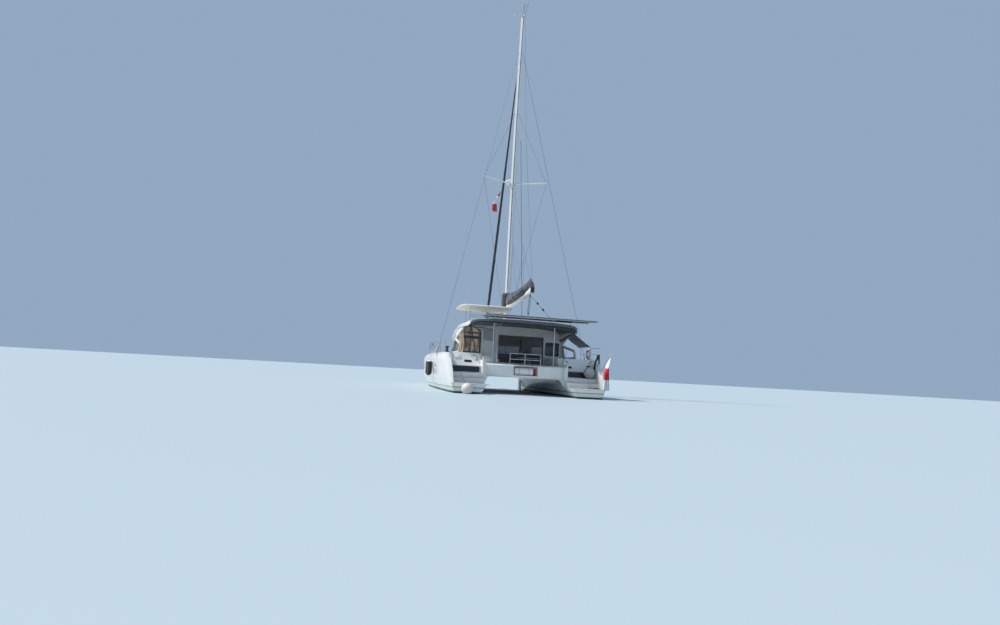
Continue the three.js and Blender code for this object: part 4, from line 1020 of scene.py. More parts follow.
def makeSailBag(shape):
    # the zipped bag with the flaked sail inside, sagging between its straps
    count = 32
    rings = [[bagPoint(step / shape["steps"], k, shape) for k in range(count)]
             for step in range(shape["steps"] + 1)]
    bag = addLoft(rings)
    modify(bag, "SUBSURF", levels=1, render_levels=1)
    settle(bag, "sail_bag_cover", bagCanvas, "boom", 60, ("sail_bag",))
    ridge = [bagPoint(0.03 + 0.92 * step / 60, count / 2 - 0.5, shape, 0.004) for step in range(61)]
    tapes = [addTube(ridge, 0.010, 8)]
    for t in shape["seams"]:
        tapes.append(addTube([bagPoint(t, k - 0.5, shape, 0.003) for k in range(3, count - 2)], 0.007, 8))
    settle(joinUp(tapes), "sail_bag_tapes", blackRubber, "boom", 60)


def makeMastCollar(shape):
    # the bag's forward part, laced round the mast and clear of the boom's swing
    collar = shape["collar"]
    low, high = collar["z"]
    halfX, halfY = collar["half"]
    rings = []
    for step in range(15):
        t = step / 14
        snug = 1 - 0.10 * (1 - t) ** 3 - 0.34 * max(0, (t - 0.84) / 0.16) ** 2
        ring = []
        for k in range(36):
            a = 2 * math.pi * k / 36
            fold = 1 + 0.020 * math.sin(5 * a + 4 * t) + 0.012 * math.sin(11 * a - 7 * t)
            ring.append((halfX * snug * fold * math.cos(a), collar["y"] + halfY * snug * fold * math.sin(a),
                         low + (high - low) * t + 0.02 * math.sin(a) * t))
        rings.append(ring)
    cover = addLoft(rings)
    modify(cover, "SUBSURF", levels=1, render_levels=1)
    settle(cover, "mast_collar", bagCanvas, "platform", 60)


makeSailBag(bagShape)
makeMastCollar(bagShape)

sailRoll = {
    "foot": (0, 4.85, 1.95), "head": (0, -0.86, 18.39), "turns": 26,
    "radii": ((2.33, 0.030), (2.7, 0.070), (6.0, 0.086), (12.0, 0.066), (16.5, 0.034), (16.95, 0.016)),
}


def stayAt(z, shape=sailRoll):
    t = (z - shape["foot"][2]) / (shape["head"][2] - shape["foot"][2])
    return Vector(shape["foot"]).lerp(Vector(shape["head"]), t)


def makeRolledHeadsail(shape):
    # the headsail rolled round its stay, a spiral edge running up it
    low, high = shape["radii"][0][0], shape["radii"][-1][0]
    way = (Vector(shape["head"]) - Vector(shape["foot"])).normalized()
    east = Vector((1, 0, 0))
    north = way.cross(east).normalized()
    rings = []
    count = 150
    for step in range(count + 1):
        z = low + (high - low) * step / count
        middle = stayAt(z)
        radius = 0.012
        for (z0, r0), (z1, r1) in zip(shape["radii"], shape["radii"][1:]):
            if z0 <= z <= z1:
                radius = r0 + (r1 - r0) * (z - z0) / (z1 - z0)
        start = 2 * math.pi * shape["turns"] * step / count
        ring = []
        for k in range(20):
            a = 2 * math.pi * k / 20
            spiral = ((a - start) / (2 * math.pi)) % 1
            ring.append(middle + (east * math.cos(a) + north * math.sin(a)) * radius * (0.90 + 0.13 * spiral))
        rings.append(ring)
    roll = addLoft(rings)
    settle(roll, "rolled_headsail", stripCanvas, "platform", 50, ("furled_headsail",))
    foot, head = Vector(shape["foot"]), Vector(shape["head"])
    stay = [addBar(foot, stayAt(2.34), 0.014, 12), addBar(stayAt(16.9), head, 0.014, 12),
            addTurned([(0.03, -0.02), (0.105, -0.02), (0.105, 0), (0.045, 0.01), (0.045, 0.10), (0.105, 0.11),
                       (0.105, 0.13), (0.03, 0.14)], stayAt(2.07), 28, way),
            addTurned([(0.02, 0), (0.045, 0.01), (0.045, 0.16), (0.02, 0.18)], stayAt(16.98), 16, way)]
    settle(joinUp(stay), "headsail_gear", polishedSteel, "platform", 40)


makeRolledHeadsail(sailRoll)

fenders = {
    "port_ball": {"node": "ball_fender_port", "middle": (-2.84, -6.605, 0.215), "radius": 0.250},
    "starboard_ball": {"node": "ball_fender_starboard", "middle": (3.03, -5.41, 1.17), "radius": 0.265},
    "side": {"nodes": ("side_fender_forward", "side_fender_aft"), "places": ((-3.969, -1.5), (-3.964, -2.14)),
             "radius": 0.124, "low": 0.64, "high": 1.40},
}


def makeBallFender(setup, finish, lineTo):
    r, middle = setup["radius"], Vector(setup["middle"])
    way = (Vector(lineTo[0]) - middle).normalized()
    # a round fender with the neck and eye that its line is tied to
    profile = [(0.004, -r)] + [(r * math.cos(a), r * math.sin(a)) for a in
                               (math.radians(d) for d in range(-80, 66, 8))]
    profile += [(r * 0.30, r * 0.93), (0.045, r * 0.985), (0.040, r * 1.0)]
    ball = addTurned(profile, middle, 32, way)
    modify(ball, "SUBSURF", levels=1, render_levels=1)
    settle(ball, setup["node"] + "_cover", finish, "platform", 50, (setup["node"],))
    line = addTube([middle + way * r * 0.99] + [Vector(p) for p in lineTo], 0.008, 8)
    settle(line, setup["node"] + "_lanyard", darkRope)


def makeSideFenders(setup):
    r = setup["radius"]
    for node, (x, y) in zip(setup["nodes"], setup["places"]):
        low, high = setup["low"], setup["high"]
        length = high - low
        profile = [(0.02, 0), (0.035, 0.0), (0.045, 0.03), (r * 0.72, 0.075), (r * 0.95, 0.12), (r, 0.17)]
        profile += [(r, length - 0.17), (r * 0.95, length - 0.12), (r * 0.72, length - 0.075),
                    (0.045, length - 0.03), (0.035, length), (0.02, length)]
        fender = addTurned(profile, (x, y, low), 32)
        settle(fender, node + "_cover", sockCloth, "platform", 45, (node,))
        paintFaces(fender, whiteVinyl, lambda spot, normal: spot.z > high - 0.085)
        deckX = -3.83
        line = addTube([(x, y, high - 0.01), (deckX - 0.035, y, 1.70), (deckX + 0.06, y, 1.83),
                        (-3.58, y * 0.99, 2.09)], 0.008, 8)
        settle(line, node + "_lanyard", whiteRope)


makeBallFender(fenders["port_ball"], creamVinyl, ((-2.95, -5.16, 0.96),))
makeBallFender(fenders["starboard_ball"], greyPlastic, ((3.03, -5.35, 1.62), (3.42, -5.34, 1.80)))
makeSideFenders(fenders["side"])

cushions = {
    "aft": {"node": "aft_cushion", "box": (-1.19, 1.19, -5.07, -4.67), "z": (1.352, 1.43), "panels": 3},
    "starboard": {"node": "starboard_cushion", "box": (1.37, 1.83, -4.58, -2.52), "z": (1.402, 1.48),
                  "panels": 3},
}


def makeCushion(setup):
    x0, x1, y0, y1 = setup["box"]
    long = 0 if x1 - x0 > y1 - y0 else 1
    run = (x1 - x0, y1 - y0)[long]
    pads, piping = [], []
    for k in range(setup["panels"]):
        a, b = run * k / setup["panels"] + 0.004, run * (k + 1) / setup["panels"] - 0.004
        box = (x0 + a, x0 + b, y0, y1) if long == 0 else (x0, x1, y0 + a, y0 + b)
        outline = [(x, y, setup["z"][0]) for x, y in roundOutline(*box, 0.035, 4)]
        pad = addPlate(outline, (0, 0, setup["z"][1] - setup["z"][0] - 0.008))
        soften(pad, 0.014, 2)
        modify(pad, "REMESH", mode="VOXEL", voxel_size=0.014)
        fill(pad)
        modify(pad, "SUBSURF", levels=1, render_levels=1)
        pads.append(pad)
        seam = [(x, y, setup["z"][1] - 0.013) for x, y in roundOutline(*box, 0.035, 4)]
        piping.append(addTube(seam + seam[:1], 0.004, 8))
    node = setup["node"]
    cushion = settle(joinUp(pads), node + "_pads", seatCloth, "platform", 60, (node,))
    settle(joinUp(piping), node + "_piping", darkSeatCloth)


def fill(pad, pressure=4.0, frames=16, most=0.008):
    # a short cloth run under pressure, with no point allowed to move far
    rest = [vert.co.copy() for vert in pad.data.vertices]
    choose(pad)
    bpy.ops.object.modifier_add(type="CLOTH")
    cloth = pad.modifiers[-1]
    cloth.settings.use_pressure = True
    cloth.settings.uniform_pressure_force = pressure
    cloth.settings.effector_weights.gravity = 0
    cloth.settings.quality = 4
    cloth.point_cache.frame_start, cloth.point_cache.frame_end = 1, frames
    for moment in range(1, frames + 1):
        scene.frame_set(moment)
    bpy.ops.object.modifier_apply(modifier=cloth.name)
    floorZ = min(point.z for point in rest)
    for vert, before in zip(pad.data.vertices, rest):
        step = vert.co - before
        if step.length > most:
            vert.co = before + step.normalized() * most
        vert.co.z = max(vert.co.z, floorZ)
    scene.frame_set(1)


for cushion in cushions.values():
    makeCushion(cushion)
print("cushions and fenders made")

ringBuoy = {"middle": (3.4056, -4.25, 2.075), "radius": 0.215, "tube": 0.060}


def makeRingBuoy(setup):
    x, y, z = setup["middle"]
    ring = addRing(setup["middle"], setup["radius"], setup["tube"], (0, math.pi / 2, 0), 48, 16)
    settle(ring, "ring_buoy", creamVinyl, "platform", 60, ("lifebuoy",))
    straps = []
    for k in range(4):
        a = math.pi / 4 + math.pi / 2 * k
        spot = Vector((x, y + setup["radius"] * math.cos(a), z + setup["radius"] * math.sin(a)))
        strap = addRing((0, 0, 0), setup["tube"] + 0.0015, 0.004, (0, 0, 0), 28, 8)
        strap.scale = (1, 1, 6)
        applyPlace()
        strap.rotation_euler = (a + math.pi / 2 + math.pi / 2, 0, 0)
        strap.location = spot
        applyPlace()
        straps.append(strap)
    settle(joinUp(straps), "ring_buoy_bands", greyPlastic, "platform", 50)


makeRingBuoy(ringBuoy)

awningShape = {"inner": (2.70, 3.010), "outer": (3.552, 2.428), "run": (-4.14, -2.46), "sag": 0.05}


def makeAwning(shape):
    (x0, z0), (x1, z1) = shape["inner"], shape["outer"]
    y0, y1 = shape["run"]
    startFresh()
    bpy.ops.mesh.primitive_grid_add(x_subdivisions=24, y_subdivisions=40, size=1)
    cloth = bpy.context.object
    for vert in cloth.data.vertices:
        s, t = vert.co.x + 0.5, vert.co.y + 0.5
        edge = 0.03 * math.sin(math.pi * t)
        dip = shape["sag"] * math.sin(math.pi * s) * (0.35 + 0.65 * math.sin(math.pi * t))
        ripple = 0.006 * math.sin(s * 15 + t * 9) * math.sin(math.pi * s)
        vert.co = (x0 + (x1 - x0) * s, y0 + (y1 - y0) * t + (0.5 - t) * 0.05 * math.sin(math.pi * s),
                   z0 + (z1 - z0) * s - dip + ripple + edge * 0.2)
    settle(cloth, "side_awning_cloth", awningCanvas, "platform", 60, ("side_awning",))


makeAwning(awningShape)

flagWork = {
    "ensign": {"node": "ensign", "hoist": ((3.545, -6.10, 1.60), (3.622, -6.428, 1.960)), "foot": 0.40,
               "gather": (3.455, -6.41), "folds": 3.5, "swing": 0.07, "spread": 0.36,
               "bands": ((0.86, 0.87, 0.88), (0.72, 0.03, 0.05), (0.86, 0.87, 0.88))},
    "courtesy": {"node": None, "hoist": ((-0.80, -1.16, 10.05), (-0.625, -1.16, 10.68)), "foot": 9.32,
                 "gather": (-1.02, -1.20), "folds": 2.5, "swing": 0.06, "spread": 0.34,
                 "bands": ((0.66, 0.03, 0.05), (0.85, 0.85, 0.86), (0.66, 0.03, 0.05))},
}


def makeFlag(name, setup, finish):
    # a flag in still air: held along its hoist, the rest hanging in folds that deepen downwards
    startFresh()
    bpy.ops.mesh.primitive_grid_add(x_subdivisions=40, y_subdivisions=44, size=1)
    flag = bpy.context.object
    low, high = (Vector(p) for p in setup["hoist"])
    gatherX, gatherY = setup["gather"]
    for vert in flag.data.vertices:
        s, t = vert.co.x + 0.5, 0.5 - vert.co.y
        held = low.lerp(high, s)
        fall = min(1, t * 2.2)
        ease = 3 * fall * fall - 2 * fall ** 3
        drop = held.z + (setup["foot"] + 0.10 * (1 - s) + 0.03 * math.sin(s * 9) - held.z) * t
        wave = math.sin(2 * math.pi * setup["folds"] * s + 0.8 * t)
        x = gatherX + setup["spread"] * (s - 0.5) * 0.8 + 0.03 * math.sin(3 * t + 4 * s)
        y = gatherY + setup["swing"] * wave * (0.55 + 0.45 * t)
        vert.co = (held.x + (x - held.x) * ease, held.y + (y - held.y) * ease, drop)
    modify(flag, "SUBSURF", levels=1, render_levels=1)
    settle(flag, name, finish, "platform", 80, (setup["node"],) if setup["node"] else ())
    return flag


for flagName, flagSetup in flagWork.items():
    high, low = flagSetup["hoist"][1][2], flagSetup["foot"]
    stripesFinish = bandedFinish(flagName + "Cloth", flagSetup["bands"], "Z", low, high)
    makeFlag(flagName + "_flag", flagSetup, stripesFinish)
flagLine = addTube([(-0.60, -1.17, 10.98), (-0.80, -1.17, 10.04), (-1.45, -1.22, 7.60), (-2.72, -1.60, 3.02)],
                   0.0035, 8)
settle(flagLine, "flag_halyard", whiteRope)

towel = {"rodZ": 2.045, "along": (-5.32, -5.02),
         "path": ((3.605, 1.60), (3.585, 1.85), (3.572, 2.03), (3.556, 2.062), (3.540, 2.03), (3.49, 1.86),
                  (3.42, 1.70), (3.372, 1.54), (3.352, 1.30), (3.350, 1.11))}


def makeTowel(setup):
    # a towel thrown over the stern hoop's middle rod, one end hanging down inside the wing
    path = [Vector(point) for point in setup["path"]]
    lengths = [0]
    for before, after in zip(path, path[1:]):
        lengths.append(lengths[-1] + (after - before).length)
    startFresh()
    bpy.ops.mesh.primitive_grid_add(x_subdivisions=24, y_subdivisions=70, size=1)
    cloth = bpy.context.object
    y0, y1 = setup["along"]
    rodZ = setup["rodZ"]
    for vert in cloth.data.vertices:
        s, run = vert.co.x + 0.5, (vert.co.y + 0.5) * lengths[-1]
        part = max(k for k in range(len(lengths) - 1) if lengths[k] <= run + 1e-6)
        share = (run - lengths[part]) / (lengths[part + 1] - lengths[part])
        x, z = path[part].lerp(path[part + 1], share)
        down = min(1, max(0, (rodZ - z) * 1.6))
        wave = 0.022 * math.sin(s * 15 + 0.6) * down
        squeeze = 1 - 0.35 * down
        vert.co = (x + wave, (y0 + y1) / 2 + (y1 - y0) * (s - 0.5) * squeeze,
                   z + 0.010 * math.sin(s * 7) * down)
    modify(cloth, "SUBSURF", levels=1, render_levels=1)
    settle(cloth, "stern_towel", towelCloth, "platform", 80)


makeTowel(towel)
print("flags, awning and towel made")

# Deck gear

deckGear = {
    "windlass": (0.0, 2.86, 1.79), "winches": ((-1.95, -2.20, 3.06), (-1.25, -2.20, 3.06)),
    "roofWinch": (-0.55, -0.62, 3.30), "cleatY": (5.2, 2.0, -1.6, -4.35),
    "net": {"x": (0.10, 2.58), "y": (3.08, 4.69), "z": 1.760, "mesh": 0.055, "cord": 0.006},
}


def makeWinch(middle, radius, height, name):
    x, y, z = middle
    r = radius
    profile = [(r * 1.02, 0), (r * 1.02, height * 0.12), (r * 0.92, height * 0.16), (r * 0.78, height * 0.32),
               (r * 0.74, height * 0.55), (r * 0.86, height * 0.72), (r * 0.88, height * 0.80),
               (r * 0.55, height * 0.83), (r * 0.55, height * 0.97), (r * 0.42, height), (0.01, height)]
    winch = addTurned(profile, (x, y, z), 32)
    return settle(winch, name, polishedSteel, "platform", 40)


def deckCleat(x, y, z, name):
    # a horn cleat on two feet, its horns tapered and lifted
    horn = addTube([(x, y - 0.13, z + 0.062), (x, y - 0.07, z + 0.050), (x, y + 0.07, z + 0.050),
                    (x, y + 0.13, z + 0.062)], 0.013, 10, True)
    feet = [addBar((x, y + side * 0.04, z), (x, y + side * 0.04, z + 0.05), 0.018, 12, 0.012)
            for side in (-1, 1)]
    base = addPlate([(x + dx, y + dy, z) for dx, dy in roundOutline(-0.025, 0.025, -0.075, 0.075, 0.02)],
                    (0, 0, 0.006))
    return settle(joinUp([horn, base] + feet), name, polishedSteel, "platform", 40)


def makeDeckGear(setup):
    for index, middle in enumerate(setup["winches"]):
        makeWinch(middle, 0.085, 0.20, "helm_winch_" + str(index))
    makeWinch(setup["roofWinch"], 0.075, 0.17, "mast_winch")
    for side, name in handed:
        for index, y in enumerate(setup["cleatY"]):
            spot, _ = surfaceAt("hull_" + name, (side * deckEdge(y, 0.24), y, 4), (0, 0, -1))
            if spot:
                deckCleat(spot.x, spot.y, spot.z, "cleat_" + name + "_" + str(index))
    x, y, z = setup["windlass"]
    body = soften(addBlock((x - 0.13, y - 0.14, z), (x + 0.10, y + 0.14, z + 0.14)), 0.03, 3)
    wheel = addTurned([(0.03, 0), (0.085, 0.0), (0.060, 0.03), (0.060, 0.045), (0.085, 0.075), (0.03, 0.078)],
                      (x + 0.10, y, z + 0.10), 24, (1, 0, 0))
    drum = addTurned([(0.03, 0), (0.06, 0), (0.045, 0.03), (0.045, 0.07), (0.06, 0.10), (0.03, 0.105)],
                     (x - 0.13, y, z + 0.10), 24, (-1, 0, 0))
    settle(joinUp([body, wheel, drum]), "windlass", polishedSteel, "platform", 40)


def deckEdge(y, inboard):
    # the outer deck edge's distance from the centre line, less a margin
    edge = ((-6.35, 3.56), (-5.4, 3.70), (-3.5, 3.83), (-0.5, 3.85), (2.0, 3.80), (3.05, 3.72), (4.3, 3.52),
            (5.4, 3.22), (6.1, 2.97), (6.4, 2.83))
    return between(edge, y) - inboard


def makeNets(setup):
    # knotted netting inside a roped edge, on the plain sheet's place
    x0, x1 = setup["x"]
    y0, y1 = setup["y"]
    for side, name in handed:
        startFresh()
        across, along = round((x1 - x0) / setup["mesh"]), round((y1 - y0) / setup["mesh"])
        bpy.ops.mesh.primitive_grid_add(x_subdivisions=across, y_subdivisions=along, size=1)
        net = bpy.context.object
        for vert in net.data.vertices:
            x = x0 + (x1 - x0) * (vert.co.x + 0.5)
            y = y0 + (y1 - y0) * (vert.co.y + 0.5)
            vert.co = (side * x, y, setup["z"] - 0.015 * math.sin(math.pi * (vert.co.x + 0.5)))
        if side < 0:
            bpy.ops.object.mode_set(mode="EDIT")
            faceOutwards()
        modify(net, "WIREFRAME", thickness=setup["cord"], use_even_offset=False, use_boundary=True)
        edge = [(side * x, y, setup["z"]) for x, y in ((x0, y0), (x1, y0), (x1, y1), (x0, y1), (x0, y0))]
        rope = addTube(edge, 0.012, 8)
        settle(joinUp([net, rope]), "net_" + name, whiteRope, "platform", 0,
               ("trampoline_" + name,))


makeDeckGear(deckGear)
makeNets(deckGear["net"])
print("deck gear made")

# Port corner curtain

curtainShape = {
    "inner": -1.965, "outer": -2.785, "aft": -4.588, "wing": (-2.883, -3.976), "foot": 1.795,
    "tops": ((0.0, 2.74), (0.06, 2.88), (0.20, 2.99), (0.32, 3.04), (0.40, 3.04), (0.56, 2.80), (0.62, 2.71),
             (1.0, 2.705)),
    "bands": ((2.44, 2.56), (2.68, 2.74)), "hem": 0.060,
}


def curtainPoint(s, z, off=0.0, shape=curtainShape):
    # round the corner from the inner edge of the aft face to the wing's end
    width = shape["inner"] - shape["outer"]
    depth = math.dist((shape["outer"], shape["aft"]), shape["wing"])
    run = s * (width + depth)
    if run <= width:
        x, y = shape["inner"] - run, shape["aft"]
        ease = math.sin(math.pi * min(1, run / width))
        wave = 0.008 * math.sin(run * 21 + z * 1.3) * ease
        return Vector((x, y + wave + off, z))
    part = (run - width) / depth
    x = shape["outer"] + (shape["wing"][0] - shape["outer"]) * part
    y = shape["aft"] + (shape["wing"][1] - shape["aft"]) * part
    return Vector((x + 0.004 + abs(off), y, z))


def curtainTop(s):
    return between(curtainShape["tops"], s)


def ribbon(pointAt, columns, rows):
    # a grid of points from a rule of two shares
    startFresh()
    bpy.ops.mesh.primitive_grid_add(x_subdivisions=columns, y_subdivisions=rows, size=1)
    sheet = bpy.context.object
    for vert in sheet.data.vertices:
        vert.co = pointAt(vert.co.x + 0.5, vert.co.y + 0.5)
    return sheet


def makeCurtain(shape):
    foot = shape["foot"]
    cloth = ribbon(lambda s, t: curtainPoint(s, foot + (curtainTop(s) - foot) * t), 72, 30)
    settle(cloth, "corner_curtain", brownWindow, "platform", 80, ("port_curtain",))
    trims = [ribbon(lambda s, t, a=a, b=b: curtainPoint(s, a + (b - a) * t, -0.004), 60, 2)
             for a, b in shape["bands"]]
    hem = shape["hem"]
    trims.append(ribbon(lambda s, t: curtainPoint(s, foot + hem * t, -0.004), 60, 1))
    trims.append(ribbon(lambda s, t: curtainPoint(s, curtainTop(s) - hem * t, -0.004), 60, 1))
    trims.append(ribbon(lambda s, t: curtainPoint(s * 0.05, foot + (curtainTop(s * 0.05) - foot) * t, -0.005),
                        3, 30))
    bands = settle(joinUp(trims), "corner_curtain_bands", stripCanvas, "platform", 80)


makeCurtain(curtainShape)

# Stern mouldings and fittings

sternWork = {
    "slot": {"x": (2.08, 3.30), "y": (-5.20, -5.08), "z": (0.935, 1.165)},
    "vents": {"port": ((-2.72, -2.38), (1.36, 1.46)), "starboard": ((2.09, 2.40), (1.33, 1.43))},
    "platform": {"x": (1.79, 3.56), "y": -6.35, "z": 0.45},
    # each tread's front edge, height and inner end
    "treads": ((-5.76, 0.68, 1.80), (-5.45, 0.90, 2.02), (-5.14, 1.20, 2.02)),
    "treadOuter": 3.37, "wallInner": 2.13,
}


def wallAt(side, x, z, off=0.0):
    # the raked wall over the upper tread
    spot, normal = surfaceAt("hull_" + side, (x, -6.6, z), (0, 1, 0))
    return spot + normal * off, normal


def onWall(side, outline, thick, off=0.0):
    points = [wallAt(side, x, z, off)[0] for x, z in outline]
    _, normal = wallAt(side, *outline[0])
    return addPlate(points, tuple(normal * thick))


def makeSternTrim(setup):
    for sign, side in handed:
        slot = setup["slot"]
        x0, x1 = slot["x"]
        y0, y1 = slot["y"]
        z0, z1 = slot["z"]
        left, right = sorted((sign * x0, sign * x1))
        # a near-black block at the back of each slot: painted shade for the recess's inside
        lining = addBlock((left, y1 - 0.012, z0), (right, y1, z1))
        rim = [(sign * x, y0 - 0.004, z) for x, z in roundOutline(x0, x1, z0, z1, 0.045, 4)]
        edge = addTube(rim + rim[:1], 0.010, 8)
        settle(lining, "slot_back_shade_" + side, paintedOpeningShade)
        settle(edge, "slot_edge_" + side, blackRubber)
        bars = [addBar((sign * x, y1 - 0.03, z0), (sign * x, y1 - 0.03, z1), 0.009, 10)
                for x in (x0 + (x1 - x0) * k / 5 for k in range(1, 5))]
        middle = (z0 + z1) / 2
        bars.append(addBar((sign * x0, y1 - 0.03, middle), (sign * x1, y1 - 0.03, middle), 0.009, 10))
        settle(joinUp(bars), "slot_bars_" + side, blackPlastic)
        (v0, v1), (w0, w1) = setup["vents"][side]
        # each vent's dark plate behind its slats is painted shade in the opening
        plate = onWall(side, roundOutline(v0, v1, w0, w1, 0.03, 4), 0.006)
        settle(plate, "vent_" + side, paintedOpeningShade, "platform", 30)
        left, right = v0 + 0.02, v1 - 0.02
        slats = [onWall(side, [(left, z), (right, z), (right, z + 0.007), (left, z + 0.007)], 0.010, 0.004)
                 for z in (w0 + 0.016 + 0.022 * k for k in range(4))]
        settle(joinUp(slats), "vent_slats_" + side, blackPlastic, "platform", 30)
        p = setup["platform"]
        strip = addTube([(sign * (p["x"][0] + 0.02), p["y"] - 0.004, p["z"] - 0.035),
                         (sign * (p["x"][1] - 0.03), p["y"] - 0.004, p["z"] - 0.035)], 0.018, 10)
        settle(strip, "platform_strip_" + side, creamVinyl)
        for index, (y, z, inner) in enumerate(setup["treads"]):
            ends = (inner, setup["treadOuter"])
            # a grey line along each tread's front edge: painted shade where tread meets riser
            shadeLine = addTube([(sign * x, y - 0.002, z - 0.004) for x in ends], 0.007, 8)
            settle(shadeLine, "tread_shade_line_" + side + "_" + str(index), greyPlastic)
    raised = onWall("port", roundOutline(-3.14, -2.86, 1.49, 1.72, 0.03, 4), 0.012)
    soften(raised, 0.004)
    settle(raised, "locker_hatch_port", gelcoat, "platform", 30)
    for side, spots in (("port", ((-2.38, 1.63), (-2.24, 1.66), (-2.14, 1.60), (-2.10, 1.47))),
                        ("starboard", ((1.98, 1.63), (2.05, 1.655), (2.14, 1.65), (2.21, 1.61)))):
        spots = [(math.copysign(max(abs(x), setup["wallInner"]), x), z) for x, z in spots]
        points = [wallAt(side, x, z, 0.05)[0] for x, z in spots]
        ends = [wallAt(side, x, z)[0] for x, z in (spots[0], spots[-1])]
        grab = addTube([ends[0]] + points + [ends[1]], 0.012, 10, True)
        settle(grab, "grab_rail_" + side, blackRubber, "platform", 60)
    shower = onWall("starboard", roundOutline(3.14, 3.34, 1.42, 1.50, 0.03, 4), 0.01)
    tap = addTube([wallAt("starboard", 3.20, 1.46, 0.01)[0], wallAt("starboard", 3.20, 1.46, 0.06)[0],
                   wallAt("starboard", 3.22, 1.42, 0.08)[0]], 0.010, 8, True)
    settle(joinUp([shower, tap]), "stern_shower", blackPlastic, "platform", 40)


# near-black blue for the backs of the slots and vents: painted shade
paintedOpeningShade = darkPlasticFinish("paintedOpeningShade", (0.020, 0.022, 0.045), 0.35)
makeSternTrim(sternWork)


def makePortRope():
    # a line from the wing's top over the rail to the ball fender's own lanyard
    spots = []
    for y in (-4.75, -4.95, -5.15):
        spot, normal = surfaceAt("hull_port", (-3.44, y, 4), (0, 0, -1))
        spots.append(spot + normal * 0.010)
    start = spots[0] + Vector((-0.10, 0.2, 0.05))
    rope = addTube([start] + spots + [(-3.26, -5.26, 1.22), (-3.10, -5.24, 1.00)], 0.008, 8, True)
    settle(rope, "stern_rope", darkRope, "platform", 60)


makePortRope()
print("stern fittings made")

# Windows, doors and cockpit

hullLights = {"y": ((-1.4, 0.2), (0.7, 2.3)), "z": (0.98, 1.20), "ports": (-3.3, 3.4, 4.2)}


def makeHullLights(setup):
    # long dark windows let into the outer sides, and round ports by them, laid on the curved skin
    for sign, side in handed:
        z0, z1 = setup["z"]
        for index, (y0, y1) in enumerate(setup["y"]):
            outline = roundOutline(y0, y1, z0, z1, 0.09, 5)
            points = []
            for y, z in outline:
                spot, normal = surfaceAt("hull_" + side, (sign * 5, y, z), (-sign, 0, 0))
                points.append(spot + normal * 0.003)
            glass = addPlate(points, (-sign * 0.012, 0, 0))
            mark = side + "_" + str(index)
            settle(glass, "hull_window_" + mark, smokedGlass, "platform", 30)
            seal = addTube(points + points[:1], 0.007, 8)
            settle(seal, "hull_window_seal_" + mark, blackRubber)
        for index, y in enumerate(setup["ports"]):
            spot, normal = surfaceAt("hull_" + side, (sign * 5, y, 1.10), (-sign, 0, 0))
            turn = normal.to_track_quat("Z", "Y").to_euler()
            rim = addRing(spot + normal * 0.003, 0.105, 0.011, turn, 36, 8)
            mark = side + "_" + str(index)
            settle(rim, "port_rim_" + mark, polishedSteel, "platform", 60)
            pane = addTurned([(0.004, -0.004), (0.10, -0.004), (0.10, 0.003), (0.05, 0.006), (0.004, 0.007)],
                             spot, 36, normal)
            settle(pane, "port_pane_" + mark, smokedGlass, "platform", 60)


makeHullLights(hullLights)

wingGasket = {
    "sill": (-2.18, 1.88), "aft": (-3.64, 1.88), "round": (-3.64, 2.04, 0.19, 0.15), "head": (-2.18, 2.42),
}


def makeWingGaskets(setup):
    for sign, side in handed:
        cy, cz, ry, rz = setup["round"]
        outline = [setup["sill"], setup["aft"]]
        outline += [(cy + ry * math.cos(math.radians(a)), cz + rz * math.sin(math.radians(a)))
                    for a in range(230, 89, -20)]
        outline.append(setup["head"])
        for count, face in enumerate((2.930, 2.868)):
            proud = 0.002 if count == 0 else -0.002
            points = [(sign * (face - 0.198 * (z - 1.79) + proud), y, z) for y, z in outline]
            seal = addTube(points + points[:1], 0.016, 8)
            settle(seal, "wing_gasket_" + side + "_" + str(count), blackRubber)


makeWingGaskets(wingGasket)

doorWork = {"opening": (-0.56, 1.72, 1.05, 2.85), "front": -2.06}


def makeDoorTrim(setup):
    x0, x1, z0, z1 = setup["opening"]
    y = setup["front"] - 0.006
    rim = [(x0 - 0.03, y, z0), (x0 - 0.03, y, z1 + 0.03), (x1 + 0.03, y, z1 + 0.03), (x1 + 0.03, y, z0)]
    surround = addTube(rim, 0.014, 8)
    settle(surround, "doorway_seal", blackRubber)
    low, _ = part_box("sliding_door")
    pull = [(low.x + 0.028, low.y - 0.004, 1.85), (low.x + 0.028, low.y - 0.045, 1.88),
            (low.x + 0.028, low.y - 0.045, 2.12), (low.x + 0.028, low.y - 0.004, 2.15)]
    settle(addTube(pull, 0.010, 10, True), "door_pull", polishedSteel, "saloon_door", 60)
    galleyPane = [(x, y, z) for x, z in roundOutline(1.90, 2.60, 1.95, 2.60, 0.05, 4)]
    settle(addTube(galleyPane + galleyPane[:1], 0.014, 8), "galley_window_seal", blackRubber)
    pane = addPlate([(x, -2.045, z) for x, z in roundOutline(1.89, 2.61, 1.94, 2.61, 0.05, 4)], (0, 0.008, 0))
    settle(pane, "galley_window_pane", smokedGlass, "platform", 30)
    posts = []
    for x in (-0.83, 0.0, 0.83):
        points = []
        for z in (2.07, 2.20, 2.33, 2.46):
            spot, normal = surfaceAt("front_window", (x, 6, z), (0, -1, 0))
            if spot:
                points.append(spot + normal * 0.012)
        if len(points) > 1:
            posts.append(addTube(points, 0.026, 8))
    settle(joinUp(posts), "front_window_posts", gelcoat)


makeDoorTrim(doorWork)

helmWork = {
    "wheel": (-1.6, -2.42, 2.76), "panel": (-1.95, -1.22, 2.92, 3.03),
    "seat": (-2.13, -1.07, -3.28, -2.97, 2.90),
}


